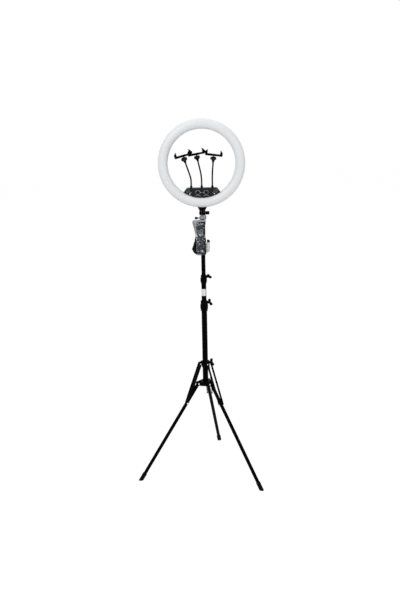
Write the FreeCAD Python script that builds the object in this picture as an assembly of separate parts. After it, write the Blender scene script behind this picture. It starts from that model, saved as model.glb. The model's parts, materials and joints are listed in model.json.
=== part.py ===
import FreeCAD, Part
import math
import os

# A floor-standing ring light: a reverse-folding tripod, a three-section column, a ring lamp on a
# tilting bracket, and three phone clips on goosenecks.
# Millimetres. The origin is on the floor under the column's axis. +Z is up, the lamp faces -Y,
# and +X is to the right of someone who looks into the lamp.

V = FreeCAD.Vector
ORIGIN = V(0, 0, 0)
EAST = V(1, 0, 0)
NORTH = V(0, 1, 0)
UP = V(0, 0, 1)

# ---------------------------------------------------------------- clearances
SLIDE_GAP = 0.3        # between a sliding collar and its tube
BUSH_GAP = 0.1         # between a guide bush and the tube beside it
PIN_GAP = 0.05         # radial running fit of a pin, a spigot or a screw in its hole
SEAT_GAP = 0.3         # between curved or soft pieces that rest on each other
SHOULDER_GAP = 0.3     # along the axis, between pieces that turn past each other
THROUGH = 1.0          # how far a cutter runs past the face that it opens

# ---------------------------------------------------------------- column
LOWER_TUBE_R = 15.0
MIDDLE_TUBE_R = 13.0
TOP_TUBE_R = 11.0
TUBE_WALL = 1.0
LOWER_TUBE_LENGTH = 450.0
MIDDLE_TUBE_SHOWN = 142.5  # how far a sliding tube stands out of the tube below it
MIDDLE_TUBE_LENGTH = 450.0
TOP_TUBE_SHOWN = 287.0
TOP_TUBE_LENGTH = 418.0
GUIDE_LENGTH = 22.0
BUSH_LENGTH = 40.0
BUSH_RIM = 4.0

# ---------------------------------------------------------------- tripod linkage
LEG_TURN = 78.3            # azimuth of the first leg, in degrees from +X
LEG_COUNT = 3
LEG_PIVOT_R = 42.0
LEG_LEAN = 33.5            # between an opened leg and the vertical, in degrees
LEG_LENGTH = 606.0
LEG_R = 9.5
LEG_WALL = 1.2
LEG_HEEL = 9.0             # length of tube beyond the pivot
COLLAR_PIVOT_R = 30.0
COLLAR_RISE = 114.0        # collar pivots above the leg pivots when the legs are open
BRACE_RIVET_LENGTH = 123.0        # leg pivot to brace rivet, along the leg
STRIP_THICK = 2.0
STRIP_WIDTH = 13.0
EAR_THICK = 2.7
FORK_GAP = 0.5             # between a leg and the ears on each side of it
STRIP_GAP = 0.3            # between an ear and the strip outside it
LEG_PIN_R = 3.0
BRACE_PIN_R = 2.0
RIVET_HEAD_R = 4.2
RIVET_HEAD_H = 1.4
RIVET_CROWN = 0.55         # flat top of a rivet's head, as a share of its radius
LEG_PIN_HEAD_R = 5.4

# ---------------------------------------------------------------- rubber feet
FOOT_WALL = 1.8
FOOT_SLEEVE = 28.0         # length of leg that the foot covers
FOOT_END_LENGTH = 17.6          # end of the leg's tube to the floor, along the leg
FOOT_ROUND = 1.2
PLUG_LENGTH = 16.0

# ---------------------------------------------------------------- hub at the foot of the column
HUB_BARREL_R = 20.0
HUB_HEIGHT = 23.0
HUB_PLATE_R = 37.0
HUB_FLAT_R = 29.5        # the plate's straight sides, between the legs
HUB_EAR_R = 10.0
HUB_FLOOR = 4.0            # hub below the end of the lower tube
HUB_SLOT_R = 27.0        # where the slot for each leg begins
CAP_THICK = 3.0
CAP_SKIRT = 14.0

# ---------------------------------------------------------------- sliding collar
COLLAR_WALL = 3.6
COLLAR_UP = 10.0           # barrel above and below its pivots
COLLAR_DOWN = 22.0
COLLAR_PLATE_R = 26.0
COLLAR_PLATE_UP = 9.0      # flange above and below its pivots
COLLAR_PLATE_DOWN = 5.0
COLLAR_EAR_R = 7.0
COLLAR_SLOT_R = 21.5
COLLAR_KNOB_RISE = 0.0
COLLAR_BOSS_R = 29.0

# ---------------------------------------------------------------- tube clamps and wing knobs
KNOB_TURN = 18.3           # azimuth of the clamp knobs, between two legs
BOSS_R = 7.5
SCREW_R = 3.0
KNOB_HUB_R = 7.5
KNOB_HUB_LENGTH = 12.0
WING_REACH = 20.0
WING_SWEEP = 12.0
WING_THICK = 8.0
WING_DEPTH = 10.0
WING_ROOT = 0.2            # where a wing leaves the hub, as a share of the hub's length
WING_BEND = 0.55           # where a wing bends, as a share of its reach
HUB_NOSE = 0.7             # where a knob's hub starts to taper, as a share of its length
MID_CLAMP_DOWN = 33.5      # mid clamp below and above the end of its tube
MID_CLAMP_UP = 23.5
MID_CLAMP_R = 21.0
MID_BOSS_R = 24.0
MID_KNOB_TWIST = -60.0     # how far each wing stands turned from upright, in degrees
TOP_CLAMP_DOWN = 25.0
TOP_CLAMP_UP = 22.0
TOP_CLAMP_R = 17.6
TOP_BOSS_R = 20.5
TOP_KNOB_TWIST = -85.0
COLLAR_KNOB_TWIST = -50.0
CLAMP_KNOB_RISE = 12.0     # knob's axis above the end of the clamp's tube
CLAMP_SKIRT = 0.2          # where a clamp's body begins and ends, as shares of its height
CLAMP_SHOULDER = 0.62
CLAMP_LIP = 2.3            # how much narrower a clamp's skirt is than its body
CLAMP_CHAMFER = 1.5

# ---------------------------------------------------------------- socket, bracket and tilt joint
SPIGOT_R = 8.0
SPIGOT_LENGTH = 38.0
SPIGOT_SHOULDER = 4.0
SPIGOT_PLUG = 30.0
SPIGOT_GROOVE = 1.2
GROOVE_HEIGHT = 0.7        # where the spigot's groove starts, as a share of its length
SOCKET_R = 15.5
SOCKET_ROOF = 5.0
TILT_RISE = 65.0           # tilt axis above the top tube's end
TONGUE_THICK = 12.0
TONGUE_R = 13.0
CHEEK_R = 13.5
CHEEK_THICK = 9.0
CHEEK_GAP = 0.2
TILT_BOLT_R = 3.0
TILT_HEAD_R = 6.5
TILT_HEAD_H = 3.0
TILT_THREAD = 12.0
TILT_KNOB_R = 9.0
TILT_KNOB_LENGTH = 21.0
TILT_KNOB_LOBES = 7
TILT_KNOB_PLAIN = 6.3      # plain collar of the knob, before its flutes begin
FLUTE_R = 2.7
FLUTE_RING_R = 10.1
NECK_TOP_HALF = 26.0
NECK_WAIST_HALF = 17.0
NECK_WEB = 4.0             # solid metal at the foot and the head of the neck
NECK_DEPTH_FRONT = 12.0
NECK_PLATE_THICK = 3.0
NECK_PLATE_HALF = 17.0
NECK_PLATE_HEIGHT = 30.0
LOCK_RISE = 38.5           # locking screw above the top tube's end
LOCK_SCREW_R = 2.5
LOCK_REACH = 24.0
LOCK_KNOB_R = 6.0
LOCK_KNOB_LENGTH = 15.0
LOCK_NECK = 0.7            # narrow start of the knob, as a share of its radius
LOCK_CHAMFER = 1.0
LOCK_BAR_HALF = 9.6
LOCK_BAR_THICK = 6.0
LOCK_BAR_WIDTH = 9.0

# ---------------------------------------------------------------- ring lamp
RING_RISE = 30.5           # ring's lowest point above the tilt axis
RING_OUTER_R = 223.5
RING_WIDTH = 50.5
DIFFUSER_WALL = 2.0
DIFFUSER_SIDE = 16.0       # depth of the straight sides
DIFFUSER_DOME = 17.0       # rise of the rounded front
SEAM_Y = 6.0               # plane where the diffuser meets the rear housing
HOUSING_BACK_Y = 24.0
HOUSING_INSET = 3.0        # how far the housing stays inside the diffuser's outline
HOUSING_SLOPE = 7.0
HOUSING_WALL = 2.0
BOARD_THICK = 1.6
BOARD_MARGIN = 6.0         # board inside the diffuser's edges
RIB_MARGIN = 9.0           # ribs under the board, from the same edges
BOARD_LIFT = 1.0           # ribs under the lamp board
CHIP_SIDE = 5.0
CHIP_HEIGHT = 1.2
CHIP_ROW_OFFSET = 9.5      # rows of chips inside and outside the ring's middle radius
CHIPS_PER_ROW = 48

# ---------------------------------------------------------------- control box
BOX_TOP_RISE = 49.5        # heights of the box's parts above the lowest point of the ring's inner edge
BOX_SHOULDER_RISE = 28.0
BOX_TOP_HALF = 78.0
BOX_FRONT_Y = -17.0
BOX_SEAM_Y = -4.0
BOX_BACK_Y = 21.0
BOX_WALL = 2.2
BOX_ROUND = 6.0
BOX_TAPER = 0.7            # how much the box's sloping ends move in with an inset
ARC_SAG = 0.3              # middle of a corner's arc, as a share of the way from its corner
PANEL_FRAME = 4.0          # raised rim round the control panel
PANEL_RECESS = 1.0
TAB_THICK = 3.0
TAB_HALF = 14.0
TAB_X = 48.0
TAB_DEPTH = 20.0
TAB_RISER = 6.6            # foot of the block that joins a tab to the box, above the ring's edge
SCREW_HEAD_R = 3.2
SCREW_HEAD_H = 1.6
SCREW_SHANK_R = 1.5
DIAL_X = 21.5
DIAL_RISE = 26.5
DIAL_R = 6.5
DIAL_HEIGHT = 9.0
DIAL_SKIRT_R = 8.5
DIAL_SKIRT_H = 2.0
DIAL_SHAFT_R = 3.0
POINTER_HALF = 0.6         # groove in a dial's face that shows its setting
POINTER_DEEP = 1.0
POINTER_LENGTH = 4.5
BUTTON_X = 72.0
BUTTON_RISE = 34.5
BUTTON_R = 6.5
BUTTON_PROUD = 3.0
BUTTON_TRAVEL = 1.5
BUTTON_DISH_R = 19.5
BUTTON_DISH_DEEP = 0.8
BEZEL_R = 9.5
BEZEL_HEIGHT = 1.6
LENS_X = 63.0
LENS_RISE = 19.5
LENS_R = 2.6
LENS_PROUD = 1.0
MARK_X = 6.5
MARK_R = 1.6
MARK_PROUD = 0.5
CIRCUIT_THICK = 1.6
CIRCUIT_MARGIN = 4.0       # between the board's lower corners and the box's wall
CIRCUIT_RISE = 23.5
CIRCUIT_HEIGHT = 17.5
CIRCUIT_Y = 3.0
INLET_X = -40.0
INLET_RISE = 34.0
INLET_R = 5.5
INLET_BORE_R = 2.75
INLET_DEPTH = 9.0
INLET_BODY = 12.0
VENT_COUNT = 9
VENT_PITCH = 6.0
VENT_WIDTH = 2.4
VENT_HEIGHT = 14.0

# ---------------------------------------------------------------- goosenecks and phone clips
NECK_R = 4.25
FERRULE_R = 6.2
FERRULE_LENGTH = 11.0
FERRULE_TAPER = 3.3
FERRULE_LIP = 0.8
FERRULE_ROOF = 2.0         # solid end of a ferrule beyond the gooseneck
ARM_STRAIGHT = 14.0        # length that rises straight from the foot
# Each holder: name, foot x, tip x, tip y, rise of its tip above the box, lean of its tip from
# upright, roll of its clip.
HOLDERS = (
    ("left", -55.0, -84.0, -24.0, 137.5, 22.5, 15.0),
    ("middle", -1.0, -20.0, 24.0, 141.5, 20.5, 10.0),
    ("right", 54.0, 60.0, -6.0, 136.5, 6.5, -7.5),
)
BALL_R = 7.0
BALL_STALK_R = 3.2
BALL_RISE = 15.0           # ball centre above the tip of the gooseneck
CUP_R = 9.0
NUT_R = 15.5
NUT_BOTTOM = 9.5           # nut below and above the ball centre
NUT_TOP = 5.0
NUT_DOME = 3.2             # height of the nut's dome at its shoulder
NUT_RIM = 0.5              # height where the nut's side meets its dome
NUT_SHOULDER = 2.5
NUT_CHAMFER = 1.5
NUT_GROOVES = 16
GROOVE_R = 1.4
MOUTH_R = 6.2
MOUTH_Z = 4.2
CLIP_PLATE_THICK = 8.0
CLIP_PLATE_LENGTH = 50.0
CLIP_PLATE_WIDTH = 30.0
CLIP_LIFT = 9.0            # plate's underside above the ball centre
CLIP_OPENING = 68.0        # between the two jaws
JAW_THICK = 8.5
JAW_HEIGHT = 21.0
JAW_WIDTH = 24.0
JAW_LIP = 3.0
JAW_TRAVEL = 15.0
RAIL_THICK = 3.5
RAIL_LIFT = 2.0            # rail above the plate's underside
RAIL_WIDTH = 16.0
RAIL_LENGTH = 26.0
PAD_THICK = 1.5
PAD_MARGIN = 2.0
CLIP_ROUND = 2.0
JAW_HOOK = 5.0             # hook's root and its nose below the jaw's top
JAW_NOSE = 2.0
JAW_BULGE = 1.5            # how far a jaw's back swells past its thickness
JAW_HEEL = 1.0

# ---------------------------------------------------------------- bag strapped to the column
BAG_DROP = 155.0           # bag's bottom and waist below the top tube's end, and its top above it
BAG_WAIST_DROP = 52.0
BAG_RISE = 31.0
BAG_BACK_Y = -12.0
BAG_ROUND = 6.0
BAG_NECK = ((-12.0, 8.0), (-26.0, -18.0))   # X and Y range of the passage up through the waist
PACK_ROUND = 3.0
STRAP_THICK = 1.4
STRAP_WIDTH = 16.0
STRAP_RISE = 30.0          # lower strap above the bag's bottom

# ---------------------------------------------------------------- values worked out from those above
LEG_AZIMUTHS = [LEG_TURN + 360.0 / LEG_COUNT * i for i in range(LEG_COUNT)]
LEG_INNER_R = LEG_R - LEG_WALL
EAR_IN = LEG_R + FORK_GAP
EAR_OUT = EAR_IN + EAR_THICK
STRIP_IN = EAR_OUT + STRIP_GAP
STRIP_OUT = STRIP_IN + STRIP_THICK
LEAN = math.radians(LEG_LEAN)
LEG_PIVOT_Z = (LEG_LENGTH + FOOT_END_LENGTH) * math.cos(LEAN)
RIVET_R = LEG_PIVOT_R + BRACE_RIVET_LENGTH * math.sin(LEAN)
RIVET_Z = LEG_PIVOT_Z - BRACE_RIVET_LENGTH * math.cos(LEAN)
COLLAR_Z = LEG_PIVOT_Z + COLLAR_RISE
HUB_TOP = LEG_PIVOT_Z + HUB_HEIGHT / 2
HUB_BOTTOM = LEG_PIVOT_Z - HUB_HEIGHT / 2
LOWER_TUBE_BOTTOM = HUB_BOTTOM + HUB_FLOOR
LOWER_TUBE_TOP = LOWER_TUBE_BOTTOM + LOWER_TUBE_LENGTH
MIDDLE_TUBE_TOP = LOWER_TUBE_TOP + MIDDLE_TUBE_SHOWN
TOP_TUBE_TOP = MIDDLE_TUBE_TOP + TOP_TUBE_SHOWN
MID_KNOB_Z = LOWER_TUBE_TOP + CLAMP_KNOB_RISE
TOP_KNOB_Z = MIDDLE_TUBE_TOP + CLAMP_KNOB_RISE
LOWER_TUBE_IN = LOWER_TUBE_R - TUBE_WALL
MIDDLE_TUBE_IN = MIDDLE_TUBE_R - TUBE_WALL
TOP_TUBE_IN = TOP_TUBE_R - TUBE_WALL
MIDDLE_TUBE_BOTTOM = MIDDLE_TUBE_TOP - MIDDLE_TUBE_LENGTH
TOP_TUBE_BOTTOM = TOP_TUBE_TOP - TOP_TUBE_LENGTH
STUD_BASE = TOP_TUBE_TOP + SPIGOT_SHOULDER
SOCKET_TOP = STUD_BASE + SPIGOT_LENGTH + SHOULDER_GAP + SOCKET_ROOF
TILT_Z = TOP_TUBE_TOP + TILT_RISE
LOCK_KNOB_Z = TOP_TUBE_TOP + LOCK_RISE
RING_Z = TILT_Z + RING_RISE + RING_OUTER_R
RING_INNER_R = RING_OUTER_R - RING_WIDTH
RING_MID_R = (RING_OUTER_R + RING_INNER_R) / 2
CHIP_ROWS = (RING_MID_R - CHIP_ROW_OFFSET, RING_MID_R + CHIP_ROW_OFFSET)
DIFFUSER_FRONT_Y = SEAM_Y - DIFFUSER_SIDE - DIFFUSER_DOME
BOARD_BACK_Y = SEAM_Y - BOARD_LIFT
BOX_ARC_R = RING_INNER_R - SEAT_GAP
BOX_BOTTOM_Z = RING_Z - RING_INNER_R
BOX_TOP_Z = BOX_BOTTOM_Z + BOX_TOP_RISE
BOX_SHOULDER_Z = BOX_BOTTOM_Z + BOX_SHOULDER_RISE
DIAL_Z = BOX_BOTTOM_Z + DIAL_RISE
BUTTON_Z = BOX_BOTTOM_Z + BUTTON_RISE
LENS_Z = BOX_BOTTOM_Z + LENS_RISE
CIRCUIT_BOTTOM = BOX_BOTTOM_Z + CIRCUIT_RISE
CIRCUIT_HALF = math.sqrt((BOX_ARC_R - BOX_WALL) ** 2 - (RING_Z - CIRCUIT_BOTTOM) ** 2) - CIRCUIT_MARGIN
INLET_Z = BOX_BOTTOM_Z + INLET_RISE
BAG_BOTTOM = TOP_TUBE_TOP - BAG_DROP
BAG_WAIST = TOP_TUBE_TOP - BAG_WAIST_DROP
BAG_TOP = TOP_TUBE_TOP + BAG_RISE
# The bag's outline at six heights: height, left X, right X, front Y.
BAG_SECTIONS = (
    (BAG_BOTTOM, -26.0, 14.0, -36.0),
    (BAG_BOTTOM + 45, -31.0, 18.0, -42.0),
    (BAG_WAIST - 15, -29.0, 16.0, -36.0),
    (BAG_WAIST + 5, -25.0, 15.0, -31.0),
    (BAG_WAIST + 45, -32.0, 16.0, -40.0),
    (BAG_TOP, -37.0, 15.0, -34.0),
)
# The two packs in the bag: their X, Y and Z ranges.
PACKS = (
    ((-24.0, 11.0), (-32.0, -15.0), (BAG_BOTTOM + 6, BAG_WAIST - 12)),
    ((-20.0, 11.0), (-30.0, -18.5), (BAG_WAIST + 10, BAG_TOP - 8)),
)


# ---------------------------------------------------------------- shape helpers
def drum(radius, low, high):
    """A solid cylinder about +Z."""
    return Part.makeCylinder(radius, high - low, V(0, 0, low))


def pipe(outer, inner, low, high):
    """A tube about +Z."""
    return drum(outer, low, high).cut(drum(inner, low, high))


def rod(start, end, radius):
    """A solid cylinder between two points."""
    along = end - start
    return Part.makeCylinder(radius, along.Length, start, along)


def lathe(points, centre=ORIGIN, axis=UP):
    """A full turn of a closed outline, its points given as (radius, height) about +Z."""
    outline = [V(r, 0, z) for r, z in points]
    face = Part.Face(Part.makePolygon(outline + outline[:1]))
    solid = face.revolve(ORIGIN, UP, 360)
    solid.Placement = FreeCAD.Placement(centre, FreeCAD.Rotation(UP, axis))
    return solid


def turned(shape, angle, centre=ORIGIN, axis=UP):
    """A copy turned about an axis, in degrees."""
    copy = shape.copy()
    copy.rotate(centre, axis, angle)
    return copy


def moved(shape, x=0.0, y=0.0, z=0.0):
    """A copy shifted along the axes."""
    copy = shape.copy()
    copy.translate(V(x, y, z))
    return copy


def block(x_range, y_range, z_range):
    """A box between the two ends of each range."""
    size = [high - low for low, high in (x_range, y_range, z_range)]
    return Part.makeBox(*size, V(x_range[0], y_range[0], z_range[0]))


def fused(shapes):
    """The shapes joined into one solid."""
    first, *others = shapes
    return first.multiFuse(others).removeSplitter() if others else first


def cut(shape, tools):
    """The shape less each of the tools."""
    result = shape
    for tool in tools:
        result = result.cut(tool)
    return result


def radial(azimuth):
    """The level unit vector at an azimuth in degrees."""
    angle = math.radians(azimuth)
    return V(math.cos(angle), math.sin(angle), 0)


def rounded_link(start, end, radius, low, high):
    """A flat link in the XZ plane with round ends, extruded along Y from low to high."""
    along = (end - start).normalize()
    side = V(-along.z, 0, along.x) * radius
    tip = end + along * radius
    tail = start - along * radius
    edges = [
        Part.LineSegment(start + side, end + side).toShape(),
        Part.Arc(end + side, tip, end - side).toShape(),
        Part.LineSegment(end - side, start - side).toShape(),
        Part.Arc(start - side, tail, start + side).toShape(),
    ]
    solid = Part.Face(Part.Wire(edges)).extrude(V(0, high - low, 0))
    return moved(solid, y=low)


def both_sides(make):
    """The same piece at each side of the XZ plane, from a function of the side's sign."""
    return [make(1), make(-1)]


def span(sign, near, far):
    """The Y range from near to far on one side of the XZ plane."""
    return (near, far) if sign > 0 else (-far, -near)


def cross_hole(x, z, radius, reach):
    """A cutter along Y, centred on the XZ plane."""
    return rod(V(x, -reach, z), V(x, reach, z), radius)


NODES = {}


def put(node, *solids):
    """Keep a node's solids for the export at the end."""
    NODES.setdefault(node, []).extend(solids)


# ---------------------------------------------------------------- wing knob
def wing_blade(sign):
    """One swept wing of a wing screw, above or below the screw's axis."""
    bend_x = KNOB_HUB_LENGTH * WING_ROOT * 2
    bend_z = sign * WING_REACH * WING_BEND
    root = V(KNOB_HUB_LENGTH * WING_ROOT, 0, 0)
    inner = [root, V(bend_x, 0, bend_z), V(WING_SWEEP, 0, sign * WING_REACH)]
    outer = [V(WING_SWEEP + WING_DEPTH, 0, sign * WING_REACH), V(bend_x + WING_DEPTH, 0, bend_z),
             V(KNOB_HUB_LENGTH, 0, 0)]
    tip = V(WING_SWEEP + WING_DEPTH / 2, 0, sign * (WING_REACH + WING_DEPTH / 4))
    edges = [
        Part.Arc(*inner).toShape(),
        Part.Arc(inner[2], tip, outer[0]).toShape(),
        Part.Arc(*outer).toShape(),
        Part.LineSegment(outer[2], inner[0]).toShape(),
    ]
    return moved(Part.Face(Part.Wire(edges)).extrude(V(0, WING_THICK, 0)), y=-WING_THICK / 2)


def wing_knob():
    """A wing screw along +X: its hub starts at X = 0 and its screw points to -X."""
    hub_round = lathe([(0, 0), (KNOB_HUB_R, 0), (KNOB_HUB_R, KNOB_HUB_LENGTH * HUB_NOSE),
                       (KNOB_HUB_R * HUB_NOSE, KNOB_HUB_LENGTH), (0, KNOB_HUB_LENGTH)], axis=EAST)
    return fused([hub_round, wing_blade(1), wing_blade(-1)])


def clamp_knob(rho, height, twist, screw_tip):
    """A wing knob whose hub starts at radius rho, with a screw that reaches in to screw_tip."""
    knob = turned(wing_knob(), twist, axis=EAST)
    screw = rod(V(screw_tip - rho, 0, 0), V(KNOB_HUB_LENGTH / 2, 0, 0), SCREW_R)
    return turned(moved(fused([knob, screw]), x=rho, z=height), KNOB_TURN)


# ---------------------------------------------------------------- tripod
def fork_ears(pivot_rho, pivot_z, ear_r, root_rho):
    """Two ears beside a leg that lies in the XZ plane."""
    def ear(sign):
        low, high = span(sign, EAR_IN, EAR_OUT)
        return rounded_link(V(root_rho, 0, pivot_z), V(pivot_rho, 0, pivot_z), ear_r, low, high)
    return both_sides(ear)


def rivet_head(centre, sign):
    """A domed rivet head that stands on a plane across Y."""
    return lathe([(0, 0), (RIVET_HEAD_R, 0), (RIVET_HEAD_R * RIVET_CROWN, RIVET_HEAD_H), (0, RIVET_HEAD_H)],
                 centre=centre, axis=V(0, sign, 0))


def pivot_rivet(rho, height, radius):
    """A through rivet along Y with a domed head outside each strip."""
    face = STRIP_OUT + SHOULDER_GAP
    shank = rod(V(rho, -face, height), V(rho, face, height), radius)

    def head(sign):
        return rivet_head(V(rho, sign * face, height), sign)
    return fused([shank] + both_sides(head))


def leg_pin():
    """The pin that a leg turns on, headed against the outside of the hub's ears."""
    shank = rod(V(LEG_PIVOT_R, -EAR_OUT, LEG_PIVOT_Z), V(LEG_PIVOT_R, EAR_OUT, LEG_PIVOT_Z), LEG_PIN_R)

    def head(sign):
        return lathe([(0, 0), (LEG_PIN_HEAD_R, 0), (LEG_PIN_R, RIVET_HEAD_H), (0, RIVET_HEAD_H)],
                     centre=V(LEG_PIVOT_R, sign * EAR_OUT, LEG_PIVOT_Z), axis=V(0, sign, 0))
    return fused([shank] + both_sides(head))


def hub():
    """The hub under the column: a three-sided plate with a slot and two ears for each leg."""
    barrel = drum(HUB_BARREL_R, HUB_BOTTOM, HUB_TOP)
    plate = drum(HUB_PLATE_R, HUB_BOTTOM, HUB_TOP)
    side = block((HUB_FLAT_R, HUB_PLATE_R * 2), (-HUB_PLATE_R, HUB_PLATE_R), (HUB_BOTTOM, HUB_TOP))
    slot = block((HUB_SLOT_R, HUB_PLATE_R * 2), (-EAR_IN, EAR_IN), (HUB_BOTTOM, HUB_TOP))
    ears = []
    sides = []
    cutters = [drum(LOWER_TUBE_R + PIN_GAP, LOWER_TUBE_BOTTOM, HUB_TOP),
               drum(LOWER_TUBE_IN, HUB_BOTTOM, LOWER_TUBE_BOTTOM)]
    for azimuth in LEG_AZIMUTHS:
        sides.append(turned(side, azimuth + 180.0 / LEG_COUNT))
        for ear in fork_ears(LEG_PIVOT_R, LEG_PIVOT_Z, HUB_EAR_R, HUB_BARREL_R):
            ears.append(turned(ear, azimuth))
        cutters.append(turned(slot, azimuth))
        pin_hole = cross_hole(LEG_PIVOT_R, LEG_PIVOT_Z, LEG_PIN_R + PIN_GAP, STRIP_OUT)
        cutters.append(turned(pin_hole, azimuth))
    return cut(fused([barrel, cut(plate, sides)] + ears), cutters)


def collar():
    """The sliding collar: a barrel, a flange with an ear pair for each brace, and the knob's boss."""
    low = COLLAR_Z - COLLAR_DOWN
    high = COLLAR_Z + COLLAR_UP
    barrel = drum(LOWER_TUBE_R + SLIDE_GAP + COLLAR_WALL, low, high)
    plate = drum(COLLAR_PLATE_R, COLLAR_Z - COLLAR_PLATE_DOWN, COLLAR_Z + COLLAR_PLATE_UP)
    boss_z = COLLAR_Z + COLLAR_KNOB_RISE
    boss_end = V(COLLAR_BOSS_R, 0, boss_z)
    boss = turned(rod(V(LOWER_TUBE_R + COLLAR_WALL, 0, boss_z), boss_end, BOSS_R), KNOB_TURN)
    screw_hole = turned(rod(V(0, 0, boss_z), boss_end, SCREW_R + PIN_GAP), KNOB_TURN)
    slot = block((COLLAR_SLOT_R, COLLAR_PLATE_R * 2), (-EAR_IN, EAR_IN), (low, high))
    ears = []
    cutters = [drum(LOWER_TUBE_R + SLIDE_GAP, low, high), screw_hole]
    for azimuth in LEG_AZIMUTHS:
        for ear in fork_ears(COLLAR_PIVOT_R, COLLAR_Z, COLLAR_EAR_R, LOWER_TUBE_R + COLLAR_WALL):
            ears.append(turned(ear, azimuth))
        cutters.append(turned(slot, azimuth))
        rivet_hole = cross_hole(COLLAR_PIVOT_R, COLLAR_Z, BRACE_PIN_R + PIN_GAP, STRIP_OUT)
        cutters.append(turned(rivet_hole, azimuth))
    return cut(fused([barrel, plate, boss] + ears), cutters)


def leg_tube():
    """A leg along -Z from its pivot at the origin, before it is leaned out."""
    tube = pipe(LEG_R, LEG_INNER_R, -LEG_LENGTH, LEG_HEEL)
    return cut(tube, [cross_hole(0, 0, LEG_PIN_R + PIN_GAP, LEG_R * 2),
                      cross_hole(0, -BRACE_RIVET_LENGTH, BRACE_PIN_R + PIN_GAP, LEG_R * 2)])


def leg_bush():
    """The plug in the top of a leg that carries the pivot pin, and the shank of the brace rivet."""
    plug_end = LEG_HEEL - PIN_GAP
    plug = cut(drum(LEG_INNER_R - PIN_GAP, -PLUG_LENGTH, plug_end),
               [cross_hole(0, 0, LEG_PIN_R + PIN_GAP, LEG_R * 2)])
    sleeve = rod(V(0, -EAR_OUT, -BRACE_RIVET_LENGTH), V(0, EAR_OUT, -BRACE_RIVET_LENGTH), BRACE_PIN_R)
    return [plug, sleeve]


def foot():
    """A rubber foot on a leg along -Z, long enough for its sole to be cut level with the floor."""
    tip = -LEG_LENGTH - PIN_GAP
    inner = LEG_R + PIN_GAP
    outer = inner + FOOT_WALL
    nose = -(LEG_LENGTH + FOOT_END_LENGTH + outer * math.tan(LEAN))
    mouth = tip + FOOT_SLEEVE
    return lathe([(0, nose), (outer, nose), (outer, mouth - FOOT_ROUND * 2), (outer - FOOT_ROUND, mouth),
                  (inner, mouth), (inner, tip), (0, tip)])


def leaned(shape):
    """A piece of an upright leg, leaned out about the leg's pivot."""
    return turned(moved(shape, x=LEG_PIVOT_R, z=LEG_PIVOT_Z), -LEG_LEAN,
                  V(LEG_PIVOT_R, 0, LEG_PIVOT_Z), NORTH)


def brace():
    """Two strips from the collar to the rivet on a leg, with the rivet's heads."""
    top = V(COLLAR_PIVOT_R, 0, COLLAR_Z)
    bottom = V(RIVET_R, 0, RIVET_Z)
    holes = [cross_hole(COLLAR_PIVOT_R, COLLAR_Z, BRACE_PIN_R + PIN_GAP, STRIP_OUT * 2),
             cross_hole(RIVET_R, RIVET_Z, BRACE_PIN_R + PIN_GAP, STRIP_OUT * 2)]

    def strip(sign):
        low, high = span(sign, STRIP_IN, STRIP_OUT)
        return cut(rounded_link(top, bottom, STRIP_WIDTH / 2, low, high), holes)

    def head(sign):
        inner_end = V(RIVET_R, sign * STRIP_IN, RIVET_Z)
        shank = rod(inner_end, V(RIVET_R, sign * STRIP_OUT, RIVET_Z), BRACE_PIN_R)
        dome = rivet_head(V(RIVET_R, sign * STRIP_OUT, RIVET_Z), sign)
        return fused([shank, dome])

    return both_sides(strip), both_sides(head)


def build_tripod():
    """The hub with the lower tube, the collar, three legs and three braces."""
    put("lower_tube", pipe(LOWER_TUBE_R, LOWER_TUBE_IN, LOWER_TUBE_BOTTOM, LOWER_TUBE_TOP))
    put("base_hub", hub())
    plug_r = LOWER_TUBE_IN - BUSH_GAP
    plug_top = HUB_BOTTOM + CAP_SKIRT
    put("column_end_cap", lathe([(0, HUB_BOTTOM - CAP_THICK), (HUB_BARREL_R, HUB_BOTTOM - CAP_THICK),
                                 (HUB_BARREL_R, HUB_BOTTOM), (plug_r, HUB_BOTTOM), (plug_r, plug_top),
                                 (0, plug_top)]))
    put("collar", collar())
    put("collar_lock_knob", clamp_knob(COLLAR_BOSS_R + SHOULDER_GAP, COLLAR_Z + COLLAR_KNOB_RISE,
                                       COLLAR_KNOB_TWIST, LOWER_TUBE_R + SLIDE_GAP))
    below_floor = block((-LEG_LENGTH, LEG_LENGTH), (-LEG_LENGTH, LEG_LENGTH), (-LEG_LENGTH, 0))
    for number, azimuth in enumerate(LEG_AZIMUTHS, 1):
        put("leg_pivot_pins", turned(leg_pin(), azimuth))
        put("collar_pivot_rivets", turned(pivot_rivet(COLLAR_PIVOT_R, COLLAR_Z, BRACE_PIN_R), azimuth))
        put(f"leg_{number}", turned(leaned(leg_tube()), azimuth))
        for piece in leg_bush():
            put(f"leg_{number}", turned(leaned(piece), azimuth))
        put(f"foot_{number}", turned(leaned(foot()).cut(below_floor), azimuth))
        strips, heads = brace()
        for piece in strips + heads:
            put(f"brace_{number}", turned(piece, azimuth))


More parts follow.
